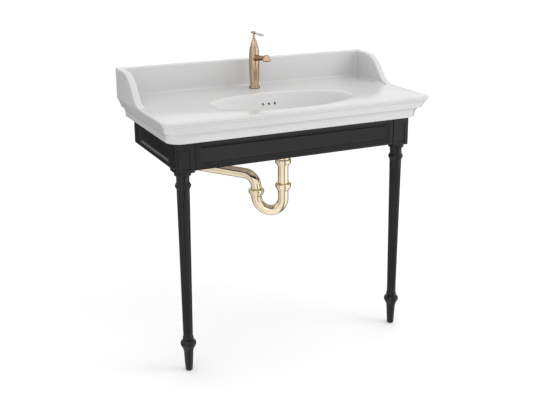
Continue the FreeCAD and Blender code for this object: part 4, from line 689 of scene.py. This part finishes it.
class SINK_OT_woodwork(bpy.types.Operator):
    """Apron, side rails and corner posts with their sunk panels."""
    bl_idname = "sink.woodwork"
    bl_label = "Apron, side rails and posts"

    def execute(self, context):
        high = RAIL_HEIGHT - FIELD_HIGH
        place = Matrix.Translation(spot(0, APRON_Y, RAIL_FOOT))
        field = (FIELD_END - APRON_HALF, FIELD_LOW, APRON_HALF - FIELD_END, high)
        dress("apron", "black_wood", lambda bm: panelled_board(bm, place, APRON_HALF, field),
              ["front_rail"], sharp=25)
        front, rear = FIELD_END - SIDE_RAIL_HALF, SIDE_RAIL_HALF - FIELD_REAR
        for side, sign, left, right in (("left", -1, -rear, -front), ("right", 1, front, rear)):
            place = Matrix.Translation(spot(SIDE_RAIL_X * sign, SIDE_RAIL_Y, RAIL_FOOT))
            place @= Matrix.Rotation(QUARTER_TURN * sign, 4, "Z")
            field = (left, FIELD_LOW, right, high)
            dress(side + "_side_rail", "black_wood",
                  lambda bm: panelled_board(bm, place, SIDE_RAIL_HALF, field),
                  [side + "_rail"], sharp=25)
            dress(side + "_corner_post", "black_wood", lambda bm: corner_post(bm, sign),
                  [side + "_post"], sharp=25)
        return {"FINISHED"}


# --- turned legs -------------------------------------------------------------------------

LEG_FOOT, LEG_TOP = 3.0, 716.0
# Radius and height above the floor, from the glide to the post.
LEG_PROFILE = (
    (2.6, 3), (10.5, 3), (12.5, 5, 2, -1), (14.6, 40), (15.8, 64), (20.3, 87, 62, 1),
    (21.3, 87.6), (21.9, 88.6, 0.9, -1), (21.9, 89.8), (21.5, 91), (27, 103.5, 13.5, -1),
    (16.8, 116, 15.5, -1), (16.5, 118), (17.6, 118.4), (18.5, 120), (18.5, 126), (17.6, 127.6),
    (16.5, 128.4), (16.5, 134), (21.5, 634), (21.5, 657), (23.0, 658.2), (23.4, 660.2),
    (23.2, 661.6), (27, 669, 9.8, -1), (23.2, 676.4, 9.8, -1), (23.4, 677.8), (23.0, 679.8),
    (21.5, 681), (21.9, 697), (22.4, 701.5, 40, 1), (26.6, 704.2, 6, 1), (27.6, 704.6),
    (28, 706, 1.4, -1), (28, 714.6), (27, 716), (5, 716),
)
LONG_STEP, LONG_PARTS, END_STEP, END_STEPS = 20.0, 14, 0.7, 9
FLUTES, FLUTE_LOW, FLUTE_HIGH = 12, 142.0, 626.0
FLUTE_RADIUS, FLUTE_GROWTH, FLUTE_WIDTH = 3.2, 1.0, 0.95
# From this part of a flute's half width on, it runs straight out from this part of its depth.
FLUTE_LIP, LIP_DEPTH = 0.97, 0.24


def leg_levels():
    """The leg's profile, closed on its axis and divided finely where the flutes end."""
    points = traced(LEG_PROFILE, 2.0)
    ends = [k * END_STEP for k in range(END_STEPS)]
    rounds = [FLUTE_LOW + e for e in ends] + [FLUTE_HIGH - e for e in ends]
    levels = [(0, LEG_FOOT)]
    for low, high in zip(points, points[1:]):
        levels.append((low.x, low.y))
        tall = high.y - low.y
        if tall > LONG_STEP:
            heights = rounds + [low.y + tall * k / LONG_PARTS for k in range(1, LONG_PARTS)]
            for z in sorted(h for h in heights if low.y < h < high.y):
                levels.append((low.x + (high.x - low.x) * (z - low.y) / tall, z))
    return levels + [tuple(points[-1]), (0, LEG_TOP)]


def leg_radius(r, z, angle, share):
    """The leg's radius at a point, less what a flute cuts there."""
    end = min(z - FLUTE_LOW, FLUTE_HIGH - z)
    if end <= 0:
        return r
    radius = FLUTE_RADIUS + FLUTE_GROWTH * (z - FLUTE_LOW) / (FLUTE_HIGH - FLUTE_LOW)
    rounding = 1.0 if end >= radius else math.sqrt(1 - (1 - end / radius)**2)
    depth = radius * share * rounding
    step = FULL_TURN / FLUTES
    off = (angle + step / 2) % step - step / 2
    x = abs(off * r / (radius * FLUTE_WIDTH * math.sqrt(rounding)))
    if x >= 1:
        return r
    if x < FLUTE_LIP:
        return r - depth * math.sqrt(1 - x * x)
    return r - depth * LIP_DEPTH * (1 - x) / (1 - FLUTE_LIP)


class SINK_OT_legs(bpy.types.Operator):
    """Both turned and fluted legs."""
    bl_idname = "sink.legs"
    bl_label = "Turned legs"

    def execute(self, context):
        share = context.scene.sink_looks.flute_depth
        profile = leg_levels()
        for side, sign in (("left", -1), ("right", 1)):
            foot = spot(POST_X * sign, POST_Y, 0)
            dress(side + "_turned_leg", "black_wood",
                  lambda bm: lathe(bm, profile, foot, segments=FLUTES * 20,
                                   shape=lambda r, z, angle: leg_radius(r, z, angle, share)),
                  [side + "_leg"], sharp=50)
        return {"FINISHED"}


# --- tap ---------------------------------------------------------------------------------

REACH, LEVER_RISE = 108.0, 205.0
ARM_START, ARM_LOW, ARM_CLIMB, ARM_PARTS = 12.0, 114.0, 11.0, 24
ARM_TIP, ARM_SWELL, ARM_FLARE, FLARE_PARTS = 7.9, 2.6, 3.5, 7

# Profiles in radius and height above the deck, or in front of the lever's pivot.
BARREL = ((0, 1.5), (15.5, 1.5), (15.5, 16), (19, 92, 830, -1), (15.9, 152.8, 550, -1),
          (15.3, 154, 1.0, -1), (12.6, 154), (12.6, 147), (0, 147))
OUTLET = ((0, 121.4), (10.56, 121.4), (10.56, 115), (13.6, 115), (14.2, 115.2), (15.8, 118.0),
          (16, 118.8, 1.2, -1), (9.0, 133.0, 34, 1), (5.6, 137, 3.6, -1), (0, 137))
FOOT_RING = ((16.05, 1.5), (19.2, 1.5), (20.0, 2.3, 0.8, -1), (20.0, 4.2), (19.0, 5.8, 1.6, -1),
             (17.6, 6.6, 2, 1), (17.5, 8.8, 1.4, -1), (16.7, 10.2, 2, 1), (16.05, 10.5))
DOME = ((4.9, 154), (13.6, 154), (14.0, 154.4), (14.0, 156.0), (13.2, 156.9), (6.3, 180.6, 60, -1),
        (6.2, 181.2), (6.9, 182.0, 0.8, -1), (6.9, 183.4), (5.9, 184.5, 1.0, -1), (4.9, 184.5))
GRIP = ((0, 18.05), (3.3, 18.05), (3.6, 18.4, 0.4, -1), (5.3, 58, 400, -1), (5.5, 73.4, 200, -1),
        (2.6, 79, 5.6, -1), (0, 79))
KNOB = ((0, -22.9), (3.9, -19, 3.9, -1), (2.3, -15.85, 3.9, -1), (0, -15.85))


def arm_radius(t):
    """Radius of the tap's arm, which swells towards the barrel and flares into it."""
    flare = max(0.0, 1 - t * FLARE_PARTS)
    return ARM_TIP + ARM_SWELL * (1 - t) ** 1.4 + ARM_FLARE * flare ** 2


def tap_casting(bm):
    """Barrel, arm and outlet."""
    lathe(bm, traced(BARREL, 3), spot(0, TAP_Y, RIM))
    arm = []
    for k in range(ARM_PARTS + 1):
        t = k / ARM_PARTS
        rise = ARM_LOW + ARM_CLIMB * (t * t * (3 - 2 * t) * 0.6 + t * 0.4)
        arm.append(spot(0, TAP_Y - ARM_START - (REACH - ARM_START) * t, RIM + rise))
    tube(bm, arm, arm_radius)
    lathe(bm, traced(OUTLET, 1.2), spot(0, TAP_Y - REACH, RIM), segments=ROUND)
    close_ends(bm)


class SINK_OT_tap(bpy.types.Operator):
    """Barrel with its spout, foot ring and dome."""
    bl_idname = "sink.tap"
    bl_label = "Tap body and spout"

    def execute(self, context):
        axis = spot(0, TAP_Y, RIM)
        dress("tap_casting", "tap_brass", tap_casting, ["tap_body"], sharp=35, doubles=1e-7)
        dress("tap_foot_ring", "tap_brass", lambda bm: lathe(bm, traced(FOOT_RING, 0.6), axis),
              ["tap_flange"], sharp=50)
        dress("tap_dome", "tap_brass", lambda bm: lathe(bm, traced(DOME, 1), axis, segments=ROUND),
              ["tap_bonnet"], sharp=45)
        return {"FINISHED"}


class SINK_OT_lever(bpy.types.Operator):
    """Ceramic grip and rear ball of the lever."""
    bl_idname = "sink.lever"
    bl_label = "Lever with its ceramic grip"

    def execute(self, context):
        pivot = spot(0, TAP_Y, RIM + LEVER_RISE)
        dress("lever_grip", "porcelain",
              lambda bm: lathe(bm, traced(GRIP, 2), pivot, AHEAD, SMALL_ROUND),
              ["lever_handle"], "lever", sharp=60)
        dress("lever_knob", "tap_brass", lambda bm: lathe(bm, traced(KNOB, 0.6), pivot, AHEAD, 40),
              ["lever_tail"], "lever", sharp=60)
        return {"FINISHED"}


# --- waste and trap ----------------------------------------------------------------------

TUBE = 19.0
UPPER_NUT, LOWER_NUT, OUTLET_NUT = 676.0, 586.0, 558.0
TAIL_LEVELS = (576, 600, 640, 684)
# The bend, whose plane lies TRAP_TURN away from the wall's, and the feet of its sockets.
TRAP_TURN, BEND, BEND_TOP, BEND_FOOT, OUTLET_TOP = math.radians(40), 50.0, 574.0, 538.0, 548.0
TAIL_SOCKET, OUTLET_SOCKET = 566.5, 538.5
# The arm's elbow, straight run and sweep to the wall, and its heading before the sweep.
HEADING, ELBOW_FOOT, ELBOW, RUN, SWEEP = math.radians(33.6), 570.5, 46.5, 188.5, 60.0
# The stub in the wall, as distance behind the wall's face and radius.
STUB = ((0, 18.6), (34.5, 18.6), (35, 18.2), (35, 17.4), (3, 17.4))
ROSE = ((34.4, 0), (35.6, 0), (36, 0.5, 0.5, -1), (35.6, 1.6), (24, 12.4, 26, -1),
        (21.5, 14, 3, -1), (19.1, 14), (19.1, 12.4))
NUT_FOOT = ((19.1, -9),)
NUT_COLLAR = ((19.1, -16), (20.9, -16), (21.5, -15.4, 0.6, -1), (21.5, -9.8), (22.3, -9, 0.8, 1))
NUT_ROLL = ((24.2, -9), (28.5, -4.4, 4.6, -1), (28.5, 4.4), (24.2, 9, 4.6, -1), (23.6, 9),
            (23.6, -7.6))


def slip_nut(bm, x, y, middle, upright):
    """A round slip nut with fully rolled edges; the upright one has a collar under it."""
    profile = traced((NUT_COLLAR if upright else NUT_FOOT) + NUT_ROLL, 0.8)
    turn = Matrix() if upright else Matrix.Rotation(math.pi, 4, "X")
    lathe(bm, profile, spot(x, y, middle), turn, ROUND)


def socket(bm, x, y, foot):
    """The wider end of the bend that takes a tube, under its nut."""
    profile = ((19, foot), (21.5, foot + 3, 5, 1), (23.5, foot + 5.5, 4, -1), (23.5, foot + 19.5),
               (19.3, foot + 19.5))
    lathe(bm, traced(profile, 1), spot(x, y, 0), segments=ROUND)


def tail_tube(bm):
    tube(bm, [spot(0, BOWL_Y, z) for z in TAIL_LEVELS], TUBE, ROUND)
    close_ends(bm)


def trap_bend(bm, out, x, y):
    """The half ring from under the drain to the outlet at x and y, with its two sockets."""
    low = spot(0, BOWL_Y, BEND_FOOT)
    path = [spot(0, BOWL_Y, BEND_TOP), low]
    path += arc_points(low + out * BEND * MM, low, out.cross(UP), math.pi, 40)
    tube(bm, path + [spot(x, y, OUTLET_TOP)], TUBE, ROUND)
    socket(bm, 0, BOWL_Y, TAIL_SOCKET)
    socket(bm, x, y, OUTLET_SOCKET)
    close_ends(bm)


def wall_path(x, y):
    """Middle of the wall tube: up, round the elbow, along its run and square into the wall."""
    way = Vector((-math.sin(HEADING), math.cos(HEADING), 0))
    side = Vector((math.cos(HEADING), math.sin(HEADING), 0))
    start = spot(x, y, ELBOW_FOOT)
    path = [spot(x, y, OUTLET_TOP), start]
    path += arc_points(start + way * ELBOW * MM, start, way.cross(UP), -QUARTER_TURN, 24)
    corner = path[-1] + way * RUN * MM
    path += [path[-1].lerp(corner, k / 6) for k in range(1, 7)]
    path += arc_points(corner + side * SWEEP * MM, corner, UP, -HEADING, 14)
    return path + [Vector((path[-1].x, 0, path[-1].z))]


def wall_tube(bm, path):
    """The tube to the wall, with the stub behind the wall's face and its bore."""
    rings = [tube(bm, path, TUBE, ROUND)[-1]]
    arms = [v.co - path[-1] for v in rings[0]]
    for back, radius in STUB:
        centre = path[-1] + Vector((0, back * MM, 0))
        rings.append(row(bm, [centre + arm * (radius / TUBE) for arm in arms]))
    bridge(bm, *rings)
    close_ends(bm)


class SINK_OT_trap(bpy.types.Operator):
    """Slip nuts, tail tube, trap bend, wall tube and wall cover."""
    bl_idname = "sink.trap"
    bl_label = "Waste, trap and wall tube"

    def execute(self, context):
        out = Vector((-math.cos(TRAP_TURN), math.sin(TRAP_TURN), 0))
        far, y = out.x * 2 * BEND, BOWL_Y + out.y * 2 * BEND
        nuts = (("upper_nut", (0, BOWL_Y, UPPER_NUT, True)),
                ("lower_nut", (0, BOWL_Y, LOWER_NUT, False)),
                ("outlet_nut", (far, y, OUTLET_NUT, False)))
        for name, form in nuts:
            dress(name + "_round", "brass", lambda bm: slip_nut(bm, *form), [name], sharp=30)
        dress("tail_tube", "brass", tail_tube, ["tailpiece"])
        dress("trap_swan", "brass", lambda bm: trap_bend(bm, out, far, y), ["trap_bend"], sharp=35)
        path = wall_path(far, y)
        dress("wall_tube", "brass", lambda bm: wall_tube(bm, path), ["wall_arm"])
        dress("wall_cover", "brass", lambda bm: lathe(bm, traced(ROSE, 1), path[-1], AHEAD, ROUND),
              ["wall_rose"])
        return {"FINISHED"}


# --- pieces that the frame brings --------------------------------------------------------

WARM_NODES = ("tap_flange", "tap_body", "aerator_ring", "tap_bonnet", "tap_stem", "lever_pin",
              "lever_hub", "lever_tail")


class SINK_OT_small_parts(bpy.types.Operator):
    """Finishes on the solids that the frame brings."""
    bl_idname = "sink.small_parts"
    bl_label = "Finish of the small parts"

    def execute(self, context):
        looks = context.scene.sink_looks.materials()
        slots = {part["node"]: part["material_slot"] for part in frame["record"]["subparts"]}
        for name, piece in frame["nodes"].items():
            piece.data.materials.clear()
            piece.data.materials.append(looks["tap_brass" if name in WARM_NODES else slots[name]])
        return {"FINISHED"}


# --- stage, in metres --------------------------------------------------------------------

FLOOR_RADIUS, FLOOR_GREY = 30.0, 0.97
# Light cards: a level direction, and greys along it from behind (0) to ahead (1).
DEPTH_CARDS = ((0.41, 0.91, 0.0), ((0.0, 1.0), (0.30, 1.1), (0.70, 1.0), (0.79, 0.10), (1.0, 0.05)))
SIDE_CARDS = ((0.89, -0.45, 0.0), ((0.0, 0.55), (0.10, 0.75), (0.25, 1.0), (0.60, 1.0),
                                   (0.68, 0.28), (0.77, 0.28), (0.84, 1.12), (1.0, 1.2)))
# Name, place, size, share of the key light's power, and whether it shows in what shines.
LAMPS = (("key", (2.6, -2.2, 2.0), 1.6, 1.0, False), ("fill", (-2.4, -2.6, 2.2), 2.0, 0.3, True))
LAMP_TARGET = Vector((0, -0.25, 0))
# The height above which the room is white, and the light's lean from left to right.
HORIZON, ACROSS, LEAN, WHITE = (0.02, 0.16), (-1.0, 1.0), (0.78, 1.22), (1, 1, 1, 1)
# Focal length in widths of the picture, shift in the same, and the place above the floor.
SENSOR, FOCAL, SHIFT = 36.0, 886.57 / 550, (-16.53 / 550, -0.085)
YAW, PITCH, CAMERA_PLACE = math.radians(-26.744), math.radians(15.486), (-1.3442, -3.0626, 1.5263)


def make_floor():
    bm = bmesh.new()
    bmesh.ops.create_circle(bm, cap_ends=True, segments=128, radius=FLOOR_RADIUS,
                            matrix=Matrix.Translation(spot(0, 0, 0)))
    mesh = bpy.data.meshes.new("floor")
    bm.to_mesh(mesh)
    bm.free()
    pale = bpy.data.materials.new("Pale floor")
    pale.use_nodes = True
    surface = pale.node_tree.nodes["Principled BSDF"]
    surface.inputs["Base Color"].default_value = (FLOOR_GREY, FLOOR_GREY, FLOOR_GREY, 1)
    surface.inputs["Roughness"].default_value = 0.9
    mesh.materials.append(pale)
    floor = new_object("floor", mesh)
    floor.visible_glossy = False


def light_cards(tree, towards, direction, stops):
    """Greys along a level direction."""
    along = node(tree, "ShaderNodeVectorMath", {0: towards, 1: direction}, operation="DOT_PRODUCT")
    place = map_range(tree, along.outputs["Value"], *ACROSS)
    cards = node(tree, "ShaderNodeValToRGB", {"Fac": place})
    ramp = cards.color_ramp.elements
    for k, (where, grey) in enumerate(stops):
        stop = ramp[k] if k < 2 else ramp.new(where)
        stop.position, stop.color = where, (grey, grey, grey, 1)
    return cards.outputs["Color"]


def make_world(strength):
    """White for the camera, a soft lean of light from the right, and cards for what shines."""
    world = bpy.data.worlds.new("Soft studio")
    world.use_nodes = True
    tree = world.node_tree
    towards = node(tree, "ShaderNodeTexCoord").outputs["Generated"]
    parts = node(tree, "ShaderNodeSeparateXYZ", {0: towards}).outputs
    rays = node(tree, "ShaderNodeLightPath").outputs
    depth, side = [light_cards(tree, towards, *cards) for cards in (DEPTH_CARDS, SIDE_CARDS)]
    cards = mix_colours(tree, 1.0, depth, side, "MULTIPLY")
    room = mix_colours(tree, map_range(tree, parts["Z"], *HORIZON), cards, WHITE)
    lean = map_range(tree, parts["X"], *ACROSS, *LEAN)
    even = node(tree, "ShaderNodeMix", {0: rays["Is Camera Ray"], 2: lean, 3: 1.0},
                data_type="FLOAT").outputs[0]
    light = mix_colours(tree, rays["Is Glossy Ray"], even, room)
    background = tree.nodes["Background"]
    background.inputs["Strength"].default_value = strength
    tree.links.new(light, background.inputs["Color"])
    bpy.context.scene.world = world


def make_lamps(power):
    for name, place, size, share, shows in LAMPS:
        lamp = bpy.data.lights.new(name, "AREA")
        lamp.size, lamp.energy = size, power * share
        thing = new_object(name, lamp)
        thing.location = place
        thing.rotation_euler = (LAMP_TARGET - Vector(place)).to_track_quat("-Z", "Y").to_euler()
        thing.visible_glossy = shows


def make_camera():
    lens = bpy.data.cameras.new("camera")
    lens.sensor_width, lens.lens = SENSOR, FOCAL * SENSOR
    lens.shift_x, lens.shift_y = SHIFT
    camera = new_object("camera", lens)
    back = Vector((math.sin(YAW) * math.cos(PITCH), -math.cos(YAW) * math.cos(PITCH),
                   math.sin(PITCH)))
    camera.location = Vector(CAMERA_PLACE) + spot(0, 0, 0)
    camera.rotation_mode = "QUATERNION"
    camera.rotation_quaternion = (-back).to_track_quat("-Z", "Y")
    bpy.context.scene.camera = camera


class SINK_OT_stage(bpy.types.Operator):
    """Floor, room light, lamps and camera."""
    bl_idname = "sink.stage"
    bl_label = "Floor, lights and camera"

    def execute(self, context):
        looks = context.scene.sink_looks
        make_floor()
        make_world(looks.world_light)
        make_lamps(looks.key_light)
        make_camera()
        context.scene.view_settings.view_transform = "Standard"
        return {"FINISHED"}


# --- add-on ------------------------------------------------------------------------------


def colour_property(name, description, default):
    return bpy.props.FloatVectorProperty(
        name=name, description=description, subtype="COLOR", size=3, min=0, max=1, default=default)


class SinkLooks(bpy.types.PropertyGroup):
    """Sizes, colours and light that a user would change."""
    ceramic: colour_property("Ceramic", "Glaze of the basin", (0.612, 0.610, 0.608))
    black: colour_property(
        "Black lacquer", "Lacquer on the frame and legs", (0.0060, 0.0058, 0.0057))
    brass: colour_property("Pale brass", "Waste and trap", (0.86, 0.735, 0.535))
    tap_brass: colour_property("Warm brass", "Tap", (0.61, 0.45, 0.305))
    grip: colour_property("Porcelain", "Grip of the lever", (0.66, 0.68, 0.69))
    bowl_edge: bpy.props.FloatProperty(
        name="Bowl edge", description="Radius of the bowl's rolled edge",
        default=0.016, min=0.012, max=0.018, unit="LENGTH")
    flute_depth: bpy.props.FloatProperty(
        name="Flute depth", description="Depth of a flute as a part of its radius",
        default=0.68, min=0.3, max=0.9, subtype="FACTOR")
    world_light: bpy.props.FloatProperty(
        name="Room light", description="Strength of the even light", default=1.06, min=0)
    key_light: bpy.props.FloatProperty(
        name="Key light", description="Power of the main lamp", default=24.0, min=0, unit="POWER")

    def materials(self):
        """The finishes by look, made on first use."""
        if UNEVEN not in bpy.data.node_groups:
            MATERIALS.update(make_materials(self))
        return MATERIALS


class SINK_PT_panel(bpy.types.Panel):
    """Looks and build steps of the sink."""
    bl_label = "Console sink"
    bl_space_type = "VIEW_3D"
    bl_region_type = "UI"
    bl_category = "Sink"

    def draw(self, context):
        looks = context.scene.sink_looks
        for name in SinkLooks.__annotations__:
            self.layout.prop(looks, name)
        for operator in OPERATORS:
            self.layout.operator(operator.bl_idname)


MATERIALS = {}
OPERATORS = (SINK_OT_small_parts, SINK_OT_basin, SINK_OT_woodwork, SINK_OT_legs, SINK_OT_tap,
             SINK_OT_lever, SINK_OT_trap, SINK_OT_stage)
CLASSES = (SinkLooks, *OPERATORS, SINK_PT_panel)


def register():
    for cls in CLASSES:
        bpy.utils.register_class(cls)
    bpy.types.Scene.sink_looks = bpy.props.PointerProperty(type=SinkLooks)


def unregister():
    del bpy.types.Scene.sink_looks
    for cls in reversed(CLASSES):
        bpy.utils.unregister_class(cls)


def main():
    register()
    for operator in OPERATORS:
        getattr(bpy.ops.sink, operator.bl_idname.split(".")[1])()
    bpy.context.view_layer.update()


if __name__ == "__main__":
    main()
